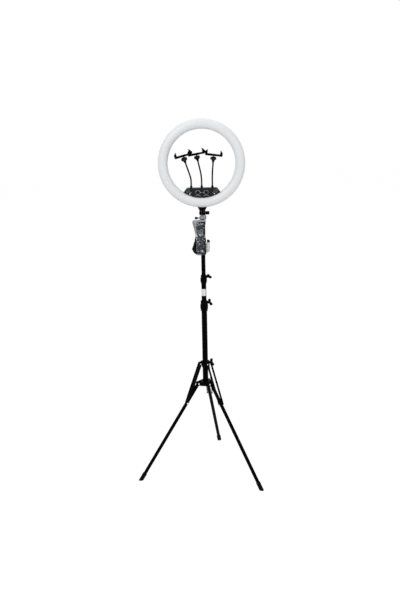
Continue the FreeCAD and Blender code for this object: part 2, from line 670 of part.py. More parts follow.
# ---------------------------------------------------------------- column
def clamp(down, up, body_r, lower_r, upper_r, tube_top, boss_rho):
    """A clamp on the top of one tube that grips the narrower tube inside it."""
    bottom = tube_top - down
    top = tube_top + up
    neck_z = tube_top + BUSH_RIM
    knob_z = tube_top + CLAMP_KNOB_RISE
    skirt_r = body_r - CLAMP_LIP
    skirt_z = bottom + (top - bottom) * CLAMP_SKIRT
    shoulder_z = bottom + (top - bottom) * CLAMP_SHOULDER
    edge_r = skirt_r - CLAMP_CHAMFER
    outline = [(lower_r + PIN_GAP, bottom), (edge_r, bottom), (skirt_r, bottom + CLAMP_CHAMFER),
               (skirt_r, skirt_z), (body_r, skirt_z + CLAMP_LIP), (body_r, shoulder_z),
               (skirt_r, shoulder_z + CLAMP_LIP), (skirt_r, top - CLAMP_CHAMFER), (edge_r, top),
               (upper_r + SLIDE_GAP, top), (upper_r + SLIDE_GAP, neck_z), (lower_r + PIN_GAP, neck_z)]
    boss = turned(rod(V(skirt_r - CLAMP_LIP, 0, knob_z), V(boss_rho, 0, knob_z), BOSS_R), KNOB_TURN)
    hole = turned(rod(ORIGIN + UP * knob_z, V(boss_rho, 0, knob_z), SCREW_R + PIN_GAP), KNOB_TURN)
    bore = drum(upper_r + SLIDE_GAP, bottom, top)
    body = fused([lathe(outline), boss.cut(drum(lower_r + PIN_GAP, bottom, top))])
    return cut(body, [hole, bore])


def bush(outer_tube_in, outer_tube_r, inner_tube_r, tube_top):
    """A guide bush in the top of a tube, with a rim on the tube's end."""
    inner = inner_tube_r + BUSH_GAP
    outer = outer_tube_in - BUSH_GAP
    bottom = tube_top - BUSH_LENGTH
    rim = tube_top + BUSH_RIM
    return lathe([(inner, bottom), (outer, bottom), (outer, tube_top), (outer_tube_r, tube_top),
                  (outer_tube_r, rim), (inner, rim)])


def guide(tube_in, outer_tube_in, bottom):
    """A guide plug on the bottom end of a sliding tube."""
    return lathe([(0, bottom - BUSH_RIM), (outer_tube_in - BUSH_GAP, bottom - BUSH_RIM),
                  (outer_tube_in - BUSH_GAP, bottom), (tube_in - PIN_GAP, bottom),
                  (tube_in - PIN_GAP, bottom + GUIDE_LENGTH), (0, bottom + GUIDE_LENGTH)])


def build_column():
    """The sliding tubes, their clamps, bushes and knobs, and the spigot on top."""
    put("mid_clamp", clamp(MID_CLAMP_DOWN, MID_CLAMP_UP, MID_CLAMP_R, LOWER_TUBE_R, MIDDLE_TUBE_R,
                           LOWER_TUBE_TOP, MID_BOSS_R))
    put("mid_clamp_bush", bush(LOWER_TUBE_IN, LOWER_TUBE_R, MIDDLE_TUBE_R, LOWER_TUBE_TOP))
    put("mid_clamp_knob", clamp_knob(MID_BOSS_R + SHOULDER_GAP, MID_KNOB_Z, MID_KNOB_TWIST,
                                     MIDDLE_TUBE_R + SLIDE_GAP))
    put("middle_tube", pipe(MIDDLE_TUBE_R, MIDDLE_TUBE_IN, MIDDLE_TUBE_BOTTOM, MIDDLE_TUBE_TOP))
    put("middle_tube", guide(MIDDLE_TUBE_IN, LOWER_TUBE_IN, MIDDLE_TUBE_BOTTOM))
    put("top_clamp", clamp(TOP_CLAMP_DOWN, TOP_CLAMP_UP, TOP_CLAMP_R, MIDDLE_TUBE_R, TOP_TUBE_R,
                           MIDDLE_TUBE_TOP, TOP_BOSS_R))
    put("top_clamp_bush", bush(MIDDLE_TUBE_IN, MIDDLE_TUBE_R, TOP_TUBE_R, MIDDLE_TUBE_TOP))
    put("top_clamp_knob", clamp_knob(TOP_BOSS_R + SHOULDER_GAP, TOP_KNOB_Z, TOP_KNOB_TWIST,
                                     TOP_TUBE_R + SLIDE_GAP))
    put("top_tube", pipe(TOP_TUBE_R, TOP_TUBE_IN, TOP_TUBE_BOTTOM, TOP_TUBE_TOP))
    put("top_tube", guide(TOP_TUBE_IN, MIDDLE_TUBE_IN, TOP_TUBE_BOTTOM))
    put("spigot", spigot())


def spigot():
    """The stud on the top tube: a plug in the tube, a shoulder on its end, and a grooved pin."""
    plug_r = TOP_TUBE_IN - PIN_GAP
    neck_r = SPIGOT_R - SPIGOT_GROOVE
    low = STUD_BASE + SPIGOT_LENGTH * GROOVE_HEIGHT
    high = low + SPIGOT_R
    top = STUD_BASE + SPIGOT_LENGTH
    bottom = TOP_TUBE_TOP - SPIGOT_PLUG
    return lathe([(0, bottom), (plug_r, bottom), (plug_r, TOP_TUBE_TOP), (TOP_TUBE_R, TOP_TUBE_TOP),
                  (TOP_TUBE_R, STUD_BASE), (SPIGOT_R, STUD_BASE), (SPIGOT_R, low),
                  (neck_r, low + SPIGOT_GROOVE), (neck_r, high), (SPIGOT_R, high + SPIGOT_GROOVE),
                  (SPIGOT_R, top), (0, top)])


# ---------------------------------------------------------------- socket and bracket
def socket():
    """The housing that turns on the spigot, with a tongue for the tilt joint on top."""
    barrel = drum(SOCKET_R, STUD_BASE + SHOULDER_GAP, SOCKET_TOP)
    tongue = Part.makeCylinder(TONGUE_R, TONGUE_THICK, V(-TONGUE_THICK / 2, 0, TILT_Z), EAST)
    stem = block((-TONGUE_THICK / 2, TONGUE_THICK / 2), (-TONGUE_R, TONGUE_R), (SOCKET_TOP, TILT_Z))
    bore = drum(SPIGOT_R + PIN_GAP, STUD_BASE, STUD_BASE + SPIGOT_LENGTH + SHOULDER_GAP)
    bolt = rod(V(-SOCKET_R, 0, TILT_Z), V(SOCKET_R, 0, TILT_Z), TILT_BOLT_R + PIN_GAP)
    lock = rod(V(-SOCKET_R * 2, 0, LOCK_KNOB_Z), V(0, 0, LOCK_KNOB_Z), LOCK_SCREW_R + PIN_GAP)
    return cut(fused([barrel, tongue, stem]), [bore, bolt, lock])


def lock_knob():
    """A small T-shaped screw that grips the spigot from the left."""
    tip = -(SPIGOT_R + SLIDE_GAP)
    start = -(SOCKET_R + SHOULDER_GAP + LOCK_REACH - LOCK_KNOB_LENGTH)
    screw = rod(V(tip, 0, LOCK_KNOB_Z), V(start, 0, LOCK_KNOB_Z), LOCK_SCREW_R)
    end = start - LOCK_KNOB_LENGTH
    shoulder = LOCK_KNOB_LENGTH - LOCK_CHAMFER
    grip = lathe([(0, 0), (LOCK_KNOB_R * LOCK_NECK, 0), (LOCK_KNOB_R, LOCK_KNOB_R / 2),
                  (LOCK_KNOB_R, shoulder), (LOCK_KNOB_R - LOCK_CHAMFER, LOCK_KNOB_LENGTH),
                  (0, LOCK_KNOB_LENGTH)],
                 centre=V(start, 0, LOCK_KNOB_Z), axis=V(-1, 0, 0))
    bar = block((end, end + LOCK_BAR_WIDTH), (-LOCK_BAR_HALF, LOCK_BAR_HALF),
                (LOCK_KNOB_Z - LOCK_BAR_THICK / 2, LOCK_KNOB_Z + LOCK_BAR_THICK / 2))
    return fused([screw, grip, bar])


def neck_screw_z():
    """The height of the two screws that hold the neck's plate to the rear housing."""
    return RING_Z - RING_OUTER_R + NECK_PLATE_HEIGHT - NECK_PLATE_HALF / 2


def bracket():
    """Two cheeks round the tongue, a neck that widens to the ring, and a plate behind the ring."""
    inner = TONGUE_THICK / 2 + CHEEK_GAP
    outer = inner + CHEEK_THICK
    web_z = TILT_Z + CHEEK_R + CHEEK_GAP
    cheeks = []
    for low, high in ((-outer, -inner), (inner, outer)):
        cheeks.append(Part.makeCylinder(CHEEK_R, high - low, V(low, 0, TILT_Z), EAST))
        cheeks.append(block((low, high), (-NECK_DEPTH_FRONT, CHEEK_R), (TILT_Z, web_z)))
    ring_bottom = RING_Z - RING_OUTER_R
    depth = HOUSING_BACK_Y + NECK_DEPTH_FRONT
    top_z = ring_bottom + NECK_WEB
    waist_z = web_z + NECK_WEB
    flare = [V(-outer, 0, web_z), V(-NECK_WAIST_HALF, 0, waist_z), V(-NECK_TOP_HALF, 0, top_z),
             V(NECK_TOP_HALF, 0, top_z), V(NECK_WAIST_HALF, 0, waist_z), V(outer, 0, web_z)]
    edges = [
        Part.Arc(flare[0], flare[1], flare[2]).toShape(),
        Part.LineSegment(flare[2], flare[3]).toShape(),
        Part.Arc(flare[3], flare[4], flare[5]).toShape(),
        Part.LineSegment(flare[5], flare[0]).toShape(),
    ]
    neck = moved(Part.Face(Part.Wire(edges)).extrude(V(0, depth, 0)), y=-NECK_DEPTH_FRONT)
    plate = block((-NECK_PLATE_HALF, NECK_PLATE_HALF), (HOUSING_BACK_Y, HOUSING_BACK_Y + NECK_PLATE_THICK),
                  (web_z, ring_bottom + NECK_PLATE_HEIGHT))
    foot_of_plate = block((-outer, outer), (CHEEK_R - THROUGH, HOUSING_BACK_Y + NECK_PLATE_THICK),
                          (web_z, waist_z))
    ring_space = rod(V(0, -RING_OUTER_R, RING_Z), V(0, HOUSING_BACK_Y, RING_Z), RING_OUTER_R + SEAT_GAP)
    bolt = rod(V(-RING_OUTER_R, 0, TILT_Z), V(RING_OUTER_R, 0, TILT_Z), TILT_BOLT_R + PIN_GAP)
    back = HOUSING_BACK_Y + NECK_PLATE_THICK + THROUGH
    screws = []
    for x in (-NECK_PLATE_HALF / 2, NECK_PLATE_HALF / 2):
        front_end = V(x, HOUSING_BACK_Y - THROUGH, neck_screw_z())
        screws.append(rod(front_end, V(x, back, neck_screw_z()), SCREW_SHANK_R + PIN_GAP))
    return cut(fused(cheeks + [neck, plate, foot_of_plate]), [ring_space, bolt] + screws)


def tilt_bolt():
    """A bolt through the tongue, headed on the left and threaded into the tilt knob on the right."""
    face = TONGUE_THICK / 2 + CHEEK_GAP + CHEEK_THICK
    head = Part.makeCylinder(TILT_HEAD_R, TILT_HEAD_H, V(-face - TILT_HEAD_H, 0, TILT_Z), EAST)
    shank = rod(V(-face, 0, TILT_Z), V(face + TILT_THREAD, 0, TILT_Z), TILT_BOLT_R)
    return fused([head, shank])


def tilt_knob():
    """A lobed knob on the end of the tilt bolt."""
    start = TONGUE_THICK / 2 + CHEEK_GAP + CHEEK_THICK + SHOULDER_GAP
    body = Part.makeCylinder(TILT_KNOB_R, TILT_KNOB_LENGTH, V(start, 0, TILT_Z), EAST)
    flutes = []
    for lobe in range(TILT_KNOB_LOBES):
        turn = 2 * math.pi * lobe / TILT_KNOB_LOBES
        flute_y = FLUTE_RING_R * math.cos(turn)
        flute_z = TILT_Z + FLUTE_RING_R * math.sin(turn)
        flute_base = V(start + TILT_KNOB_PLAIN, flute_y, flute_z)
        flutes.append(Part.makeCylinder(FLUTE_R, TILT_KNOB_LENGTH, flute_base, EAST))
    hole = Part.makeCylinder(TILT_BOLT_R + PIN_GAP, TILT_THREAD, V(start - SHOULDER_GAP, 0, TILT_Z), EAST)
    return cut(body, flutes + [hole])


def build_bracket():
    """The socket on the spigot, its lock, and the tilting bracket with its bolt and knob."""
    put("pan_socket", socket())
    put("pan_lock_knob", lock_knob())
    put("tilt_bracket", bracket())
    put("tilt_bolt", tilt_bolt())
    put("tilt_knob", tilt_knob())


# ---------------------------------------------------------------- ring lamp
def ring_lathe(points):
    """A ring about the lamp's axis: points are (radius, y), and y grows towards the back."""
    return lathe([(r, -y) for r, y in points], centre=V(0, 0, RING_Z), axis=V(0, -1, 0))


def ring_shell(edges):
    """A ring about the lamp's axis from a closed set of edges drawn in the XY plane, X as radius."""
    solid = Part.Face(Part.Wire(edges)).revolve(ORIGIN, NORTH, 360)
    return moved(solid, z=RING_Z)


def diffuser():
    """A rounded cover, open at the back."""
    side_y = SEAM_Y - DIFFUSER_SIDE
    out_r, in_r = RING_OUTER_R, RING_INNER_R
    wall = DIFFUSER_WALL
    points = [V(radius, y, 0) for radius, y in (
        (in_r, SEAM_Y), (in_r, side_y), (RING_MID_R, DIFFUSER_FRONT_Y), (out_r, side_y), (out_r, SEAM_Y),
        (out_r - wall, SEAM_Y), (out_r - wall, side_y), (RING_MID_R, DIFFUSER_FRONT_Y + wall),
        (in_r + wall, side_y), (in_r + wall, SEAM_Y))]
    line = Part.LineSegment
    edges = [
        line(points[0], points[1]),
        Part.Arc(points[1], points[2], points[3]),
        line(points[3], points[4]),
        line(points[4], points[5]),
        line(points[5], points[6]),
        Part.Arc(points[6], points[7], points[8]),
        line(points[8], points[9]),
        line(points[9], points[0]),
    ]
    return ring_shell([edge.toShape() for edge in edges])


def rear_housing():
    """A shallow tray behind the lamp board, its rim inside the diffuser's outline."""
    out_r, in_r = RING_OUTER_R - HOUSING_INSET, RING_INNER_R + HOUSING_INSET
    wall = HOUSING_WALL
    bend_y = HOUSING_BACK_Y - HOUSING_SLOPE
    tray = ring_lathe([(in_r, SEAM_Y), (in_r, bend_y), (in_r + HOUSING_SLOPE, HOUSING_BACK_Y),
                       (out_r - HOUSING_SLOPE, HOUSING_BACK_Y), (out_r, bend_y), (out_r, SEAM_Y),
                       (out_r - wall, SEAM_Y), (out_r - wall, bend_y - wall / 2),
                       (out_r - HOUSING_SLOPE - wall / 2, HOUSING_BACK_Y - wall),
                       (in_r + HOUSING_SLOPE + wall / 2, HOUSING_BACK_Y - wall),
                       (in_r + wall, bend_y - wall / 2), (in_r + wall, SEAM_Y)])
    ribs = []
    for radius in (RING_INNER_R + RIB_MARGIN, RING_OUTER_R - RIB_MARGIN):
        near, far = radius - wall / 2, radius + wall / 2
        ribs.append(ring_lathe([(near, BOARD_BACK_Y), (far, BOARD_BACK_Y), (far, HOUSING_BACK_Y - wall),
                                (near, HOUSING_BACK_Y - wall)]))
    return fused([tray] + ribs)


def chips():
    """Two rows of lamp chips on the front of the board."""
    front = BOARD_BACK_Y - BOARD_THICK
    half = CHIP_SIDE / 2
    for row, radius in enumerate(CHIP_ROWS):
        chip = block((radius - half, radius + half), (front - CHIP_HEIGHT, front),
                     (RING_Z - half, RING_Z + half))
        for i in range(CHIPS_PER_ROW):
            turn = 360.0 / CHIPS_PER_ROW * (i + row / 2)
            yield turned(chip, turn, V(0, 0, RING_Z), NORTH)


def build_lamp():
    """The ring: its cover, its tray, and the board with its chips."""
    put("diffuser", diffuser())
    put("rear_housing", rear_housing())
    near, far = RING_INNER_R + BOARD_MARGIN, RING_OUTER_R - BOARD_MARGIN
    front = BOARD_BACK_Y - BOARD_THICK
    put("lamp_board", ring_lathe([(near, BOARD_BACK_Y), (far, BOARD_BACK_Y), (far, front), (near, front)]))
    put("lamp_chips", *chips())


# ---------------------------------------------------------------- control box
def mirrored(point):
    """The same point on the other side of the YZ plane."""
    return V(-point.x, point.y, point.z)


def box_outline(inset, y):
    """The boat-shaped outline that follows the ring's inner edge, as a wire at a given y."""
    radius = BOX_ARC_R - inset
    top = BOX_TOP_Z - inset
    shoulder_half = math.sqrt(radius ** 2 - (RING_Z - BOX_SHOULDER_Z) ** 2)
    top_half = BOX_TOP_HALF - inset * BOX_TAPER
    slope = V(shoulder_half - top_half, 0, BOX_SHOULDER_Z - top).normalize()
    low_right = V(shoulder_half, y, BOX_SHOULDER_Z)
    end_right = V(top_half, y, top) + slope * BOX_ROUND
    start_top = V(top_half - BOX_ROUND, y, top)
    middle = V(top_half, y, top) + (slope - EAST) * BOX_ROUND * ARC_SAG
    edges = [
        Part.Arc(mirrored(low_right), V(0, y, RING_Z - radius), low_right).toShape(),
        Part.LineSegment(low_right, end_right).toShape(),
        Part.Arc(end_right, middle, start_top).toShape(),
        Part.LineSegment(start_top, mirrored(start_top)).toShape(),
        Part.Arc(mirrored(start_top), mirrored(middle), mirrored(end_right)).toShape(),
        Part.LineSegment(mirrored(end_right), mirrored(low_right)).toShape(),
    ]
    return Part.Wire(edges)


def boat(inset, front, back):
    """The box's outline, made smaller by the inset, as a solid between two planes."""
    return Part.Face(box_outline(inset, front)).extrude(V(0, back - front, 0))


def face_drum(x, z, radius, front, back):
    """A cylinder along Y, from a front to a back plane."""
    return Part.makeCylinder(radius, back - front, V(x, front, z), NORTH)


def panel_y():
    """The plane of the recessed control panel."""
    return BOX_FRONT_Y + PANEL_RECESS


def front_cover():
    """The front half of the control box, with the holes for its dials, buttons and lenses."""
    shell = boat(0, BOX_FRONT_Y, BOX_SEAM_Y)
    hollow = boat(BOX_WALL, panel_y() + BOX_WALL, BOX_SEAM_Y)
    recess = boat(PANEL_FRAME, BOX_FRONT_Y, panel_y())
    tray = cut(shell, [hollow, recess])
    cutters = []
    holes = ((DIAL_X, DIAL_Z, DIAL_SHAFT_R + PIN_GAP), (BUTTON_X, BUTTON_Z, BUTTON_R + SEAT_GAP),
             (LENS_X, LENS_Z, LENS_R + PIN_GAP), (MARK_X, DIAL_Z, MARK_R + PIN_GAP))
    for sign in (-1, 1):
        for x, z, radius in holes:
            cutters.append(face_drum(sign * x, z, radius, BOX_FRONT_Y - BEZEL_HEIGHT, BOX_SEAM_Y))
    return cut(fused([tray, bezel(-1), bezel(1)]), cutters)


def rear_cover():
    """The back half of the control box, with vents and two tabs that reach behind the ring."""
    shell = boat(0, BOX_SEAM_Y, BOX_BACK_Y)
    hollow = boat(BOX_WALL, BOX_SEAM_Y, BOX_BACK_Y - BOX_WALL)
    tab_back = HOUSING_BACK_Y + TAB_THICK
    ring_edge = RING_Z - math.sqrt(BOX_ARC_R ** 2 - TAB_X ** 2)
    tabs = []
    cutters = [hollow, face_drum(INLET_X, INLET_Z, INLET_R + PIN_GAP, BOX_SEAM_Y, BOX_BACK_Y)]
    for sign in (-1, 1):
        x_range = (sign * TAB_X - TAB_HALF, sign * TAB_X + TAB_HALF)
        top = ring_edge + TAB_DEPTH
        tabs.append(block(x_range, (HOUSING_BACK_Y, tab_back), (ring_edge - TAB_DEPTH, top)))
        tabs.append(block(x_range, (BOX_BACK_Y - THROUGH, tab_back), (ring_edge + TAB_RISER, top)))
        cutters.append(face_drum(sign * TAB_X, tab_screw_z(), SCREW_SHANK_R + PIN_GAP, BOX_BACK_Y,
                                 tab_back + THROUGH))
    for i in range(VENT_COUNT):
        x = (i - (VENT_COUNT - 1) / 2) * VENT_PITCH
        cutters.append(block((x - VENT_WIDTH / 2, x + VENT_WIDTH / 2),
                             (BOX_BACK_Y - BOX_WALL * 2, BOX_BACK_Y + THROUGH),
                             (DIAL_Z - VENT_HEIGHT / 2, DIAL_Z + VENT_HEIGHT / 2)))
    return cut(fused([shell] + tabs), cutters)


def tab_screw_z():
    """The height of the screws through the box's tabs."""
    return RING_Z - math.sqrt(BOX_ARC_R ** 2 - TAB_X ** 2) - TAB_DEPTH / 2


def back_screw(x, z, seat_y):
    """A screw driven from behind, its head on the plane seat_y."""
    head = face_drum(x, z, SCREW_HEAD_R, seat_y, seat_y + SCREW_HEAD_H)
    shank = face_drum(x, z, SCREW_SHANK_R, HOUSING_BACK_Y, seat_y)
    return fused([head, shank])


def dial(sign):
    """A knob on the panel with a skirt and a shaft that reaches to the control board."""
    base = panel_y() - SHOULDER_GAP
    x = sign * DIAL_X
    skirt = face_drum(x, DIAL_Z, DIAL_SKIRT_R, base - DIAL_SKIRT_H, base)
    grip = face_drum(x, DIAL_Z, DIAL_R, base - DIAL_HEIGHT, base)
    shaft = face_drum(x, DIAL_Z, DIAL_SHAFT_R, base, CIRCUIT_Y - SHOULDER_GAP)
    pointer = block((x - POINTER_HALF, x + POINTER_HALF),
                    (base - DIAL_HEIGHT - THROUGH, base - DIAL_HEIGHT + POINTER_DEEP),
                    (DIAL_Z + DIAL_R - POINTER_LENGTH, DIAL_Z + DIAL_R + THROUGH))
    return cut(fused([skirt, grip, shaft]), [pointer])


def button(sign):
    """A round push button with a hollow face, its stem ending short of the control board."""
    base = CIRCUIT_Y - SHOULDER_GAP - BUTTON_TRAVEL
    x = sign * BUTTON_X
    cap = face_drum(x, BUTTON_Z, BUTTON_R, BOX_FRONT_Y - BUTTON_PROUD, base)
    face_y = BOX_FRONT_Y - BUTTON_PROUD
    dish = Part.makeSphere(BUTTON_DISH_R, V(x, face_y - BUTTON_DISH_R + BUTTON_DISH_DEEP, BUTTON_Z))
    return cap.cut(dish)


def bezel(sign):
    """A raised rim round a button's hole."""
    return face_drum(sign * BUTTON_X, BUTTON_Z, BEZEL_R, panel_y() - BEZEL_HEIGHT, panel_y())


def inlet():
    """The power inlet in the back of the box."""
    body = face_drum(INLET_X, INLET_Z, INLET_R, BOX_BACK_Y - INLET_BODY, BOX_BACK_Y)
    return body.cut(face_drum(INLET_X, INLET_Z, INLET_BORE_R, BOX_BACK_Y - INLET_DEPTH, BOX_BACK_Y))


def build_control_box():
    """The box at the foot of the ring, with its board, controls, lenses, screws and inlet."""
    put("control_front", front_cover())
    put("control_back", rear_cover())
    put("control_board", block((-CIRCUIT_HALF, CIRCUIT_HALF), (CIRCUIT_Y, CIRCUIT_Y + CIRCUIT_THICK),
                               (CIRCUIT_BOTTOM, CIRCUIT_BOTTOM + CIRCUIT_HEIGHT)))
    put("brightness_dial", dial(-1))
    put("colour_dial", dial(1))
    put("power_button", button(-1))
    put("mode_button", button(1))
    lenses = ((LENS_X, LENS_Z, LENS_R, LENS_PROUD), (MARK_X, DIAL_Z, MARK_R, MARK_PROUD))
    screws = ((TAB_X, tab_screw_z(), TAB_THICK), (NECK_PLATE_HALF / 2, neck_screw_z(), NECK_PLATE_THICK))
    for sign in (-1, 1):
        for x, z, radius, proud in lenses:
            put("indicator_lenses", face_drum(sign * x, z, radius, panel_y() - proud, BOX_SEAM_Y))
        for x, z, thickness in screws:
            put("housing_screws", back_screw(sign * x, z, HOUSING_BACK_Y + thickness))
    put("power_inlet", inlet())


# ---------------------------------------------------------------- goosenecks and phone clips
def gooseneck_path(foot, tip, lean):
    """Straight up, round one arc, then straight to the tip at the given lean from upright."""
    shift = V(tip.x - foot.x, tip.y - foot.y, 0)
    across = shift.Length
    side = shift.normalize()
    rise = tip.z - foot.z
    angle = math.radians(lean)
    last = ARM_STRAIGHT + across / math.tan(angle / 2) - rise
    radius = (across - last * math.sin(angle)) / (1 - math.cos(angle))
    bend = foot + UP * ARM_STRAIGHT

    def on_arc(turn):
        return bend + side * (radius * (1 - math.cos(turn))) + UP * (radius * math.sin(turn))
    along = (side * math.sin(angle) + UP * math.cos(angle)).normalize()
    edges = [
        Part.LineSegment(foot, bend).toShape(),
        Part.Arc(bend, on_arc(angle / 2), on_arc(angle)).toShape(),
        Part.LineSegment(on_arc(angle), tip).toShape(),
    ]
    return Part.Wire(edges), along


def gooseneck(foot, tip, lean):
    """The flexible arm, with a round end at its foot."""
    path, along = gooseneck_path(foot, tip, lean)
    circle = Part.Wire([Part.Circle(foot, UP, NECK_R).toShape()])
    return fused([path.makePipeShell([circle], True, False), Part.makeSphere(NECK_R, foot)]), along


def ferrule(base, along):
    """A tapered sleeve whose wide end is at the base."""
    outline = [(0, 0), (FERRULE_R, 0), (FERRULE_R, FERRULE_LENGTH - FERRULE_TAPER),
               (NECK_R + FERRULE_LIP, FERRULE_LENGTH), (0, FERRULE_LENGTH)]
    return lathe(outline, centre=base, axis=along)


def ball_cup(tip, along):
    """The end of a gooseneck: a ferrule round it and the cup that the clip's ball sits in."""
    centre = tip + along * BALL_RISE
    cup = rod(tip, centre, CUP_R)
    sleeve = ferrule(tip + along * FERRULE_ROOF, along * -1)
    return fused([cup, sleeve]).cut(Part.makeSphere(BALL_R + SEAT_GAP, centre))


def ball_nut(centre, along):
    """The knurled nut that holds the ball in its cup."""
    bore_r = CUP_R + PIN_GAP
    outline = [(bore_r, -NUT_BOTTOM), (NUT_R - NUT_CHAMFER, -NUT_BOTTOM), (NUT_R, NUT_CHAMFER - NUT_BOTTOM),
               (NUT_R, NUT_RIM), (NUT_R - NUT_SHOULDER, NUT_DOME), (MOUTH_R + NUT_CHAMFER, NUT_TOP),
               (MOUTH_R, MOUTH_Z), (MOUTH_R, 0), (bore_r, 0)]
    cutters = [Part.makeSphere(BALL_R + SEAT_GAP)]
    for i in range(NUT_GROOVES):
        at = radial(360.0 / NUT_GROOVES * i) * (NUT_R + GROOVE_R / 2)
        cutters.append(moved(drum(GROOVE_R, NUT_CHAMFER - NUT_BOTTOM, NUT_RIM), at.x, at.y))
    nut = cut(lathe(outline), cutters)
    nut.Placement = FreeCAD.Placement(centre, FreeCAD.Rotation(UP, along))
    return nut


def placed_clip(shape, centre, roll):
    """A clip piece drawn round its ball centre, rolled about Y and moved to its place."""
    return moved(turned(shape, -roll, ORIGIN, NORTH), centre.x, centre.y, centre.z)


def clip_base():
    """The back plate with its fixed jaw, and the ball under it."""
    half = CLIP_OPENING / 2
    low, high = CLIP_LIFT, CLIP_LIFT + CLIP_PLATE_THICK
    plate = block((-half - JAW_THICK, CLIP_PLATE_LENGTH - half),
                  (-CLIP_PLATE_WIDTH / 2, CLIP_PLATE_WIDTH / 2), (low, high))
    corners = [edge for edge in plate.Edges if edge.BoundBox.ZLength > CLIP_PLATE_THICK / 2]
    plate = plate.makeFillet(CLIP_ROUND, corners)
    room = SLIDE_GAP / 2
    rail = low + RAIL_LIFT
    slot = block((half - JAW_TRAVEL - RAIL_LENGTH - SLIDE_GAP, half),
                 (-RAIL_WIDTH / 2 - room, RAIL_WIDTH / 2 + room), (rail - room, rail + RAIL_THICK + room))
    ball = fused([Part.makeSphere(BALL_R), drum(BALL_STALK_R, 0, low + RAIL_LIFT / 2)])
    return fused([plate.cut(slot), jaw_shape(-1), ball])


def jaw_shape(sign):
    """A jaw that stands on the plate and hooks inward at its top."""
    inner = sign * CLIP_OPENING / 2
    outer = inner + sign * JAW_THICK
    base = CLIP_LIFT
    top = CLIP_LIFT + CLIP_PLATE_THICK + JAW_HEIGHT
    lip = inner - sign * JAW_LIP
    points = [V(inner, 0, base), V(inner, 0, top - JAW_HOOK), V(lip, 0, top - JAW_NOSE), V(lip, 0, top),
              V(inner, 0, top)]
    crest = V(outer + sign * JAW_BULGE, 0, (base + top) / 2 + JAW_NOSE * 2)
    heel = V(outer - sign * JAW_HEEL, 0, base)
    edges = [Part.LineSegment(a, b).toShape() for a, b in zip(points, points[1:])]
    edges.append(Part.Arc(points[-1], crest, heel).toShape())
    edges.append(Part.LineSegment(heel, points[0]).toShape())
    face = Part.Face(Part.Wire(edges))
    return moved(face.extrude(V(0, JAW_WIDTH, 0)), y=-JAW_WIDTH / 2)


def sliding_jaw():
    """The sprung jaw on a tongue that slides inside the plate."""
    half = CLIP_OPENING / 2
    low = CLIP_LIFT + RAIL_LIFT
    tongue = block((half - RAIL_LENGTH, half + JAW_THICK / 2), (-RAIL_WIDTH / 2, RAIL_WIDTH / 2),
                   (low, low + RAIL_THICK))
    return fused([jaw_shape(1), tongue])


def pad(sign):
    """A rubber pad on the inner face of a jaw."""
    inner = sign * CLIP_OPENING / 2
    face = CLIP_LIFT + CLIP_PLATE_THICK
    x_range = (inner - PAD_THICK, inner) if sign > 0 else (inner, inner + PAD_THICK)
    return block(x_range, (PAD_MARGIN - JAW_WIDTH / 2, JAW_WIDTH / 2 - PAD_MARGIN),
                 (face + PAD_MARGIN, face + JAW_HEIGHT - JAW_HOOK - PAD_MARGIN))


def arm_foot_z():
    """The height of the point that a gooseneck starts from, above its fixed ferrule."""
    return BOX_TOP_Z + FERRULE_LENGTH + SEAT_GAP + NECK_R


def build_holders():
    """The three goosenecks with their ferrules, ball nuts and clips."""
    for name, foot_x, tip_x, tip_y, tip_rise, lean, roll in HOLDERS:
        foot = V(foot_x, 0, arm_foot_z())
        tip = V(tip_x, tip_y, BOX_TOP_Z + tip_rise)
        neck, along = gooseneck(foot, tip, lean)
        put("arm_ferrules", ferrule(V(foot_x, 0, BOX_TOP_Z), UP))
        put(f"{name}_arm", neck, ball_cup(tip, along).cut(neck))
        centre = tip + along * BALL_RISE
        put(f"{name}_ball_nut", ball_nut(centre, along))
        put(f"{name}_clip", placed_clip(clip_base(), centre, roll), placed_clip(pad(-1), centre, roll))
        put(f"{name}_jaw", placed_clip(sliding_jaw(), centre, roll), placed_clip(pad(1), centre, roll))


# ---------------------------------------------------------------- bag on the column
def bag_section(height, left, right, front, inset):
    """A level rectangle with round corners, made smaller by the inset."""
    low_x, high_x = left + inset, right - inset
    low_y, high_y = front + inset, BAG_BACK_Y - inset
    corner = BAG_ROUND - inset / 2
    solid = block((low_x, high_x), (low_y, high_y), (height, height + BAG_ROUND))
    rounded = solid.makeFillet(corner, [e for e in solid.Edges if e.BoundBox.ZLength > BAG_ROUND / 2])
    lowest = min(rounded.Faces, key=lambda face: face.CenterOfMass.z)
    return lowest.OuterWire


def bag_room():
    """The room inside the bag for its two packs and the passage between them."""
    rooms = []
    for pack in PACKS:
        rooms.append(block(*[(low - SEAT_GAP, high + SEAT_GAP) for low, high in pack]))
    rooms.append(block(*BAG_NECK, (BAG_WAIST - STRAP_WIDTH, BAG_TOP + THROUGH)))
    return fused(rooms)


def bag():
    """A thick-walled bag, open at its top, that hangs in front of the column."""
    outer = Part.makeLoft([bag_section(*row, 0.0) for row in BAG_SECTIONS], True, False)
    socket_room = drum(SOCKET_R + SEAT_GAP * 2, STUD_BASE - SEAT_GAP * 2, BAG_TOP + THROUGH)
    return cut(outer, [bag_room(), socket_room])


def build_bag():
    """The bag, the packs inside it, and the straps that hold it to the top tube."""
    put("accessory_bag", bag())
    for ranges in PACKS:
        pack = block(*ranges)
        put("packed_accessories", pack.makeFillet(PACK_ROUND, pack.Edges))
    inner = TOP_TUBE_R + SEAT_GAP
    in_front = block((-TOP_TUBE_R * 2, TOP_TUBE_R * 2), (-TOP_TUBE_R * 2, BAG_BACK_Y + STRAP_THICK),
                     (BAG_BOTTOM, BAG_TOP))
    for height in (BAG_BOTTOM + STRAP_RISE, BAG_WAIST):
        ring = pipe(inner + STRAP_THICK, inner, height - STRAP_WIDTH / 2, height + STRAP_WIDTH / 2)
        put("bag_straps", ring.cut(in_front))


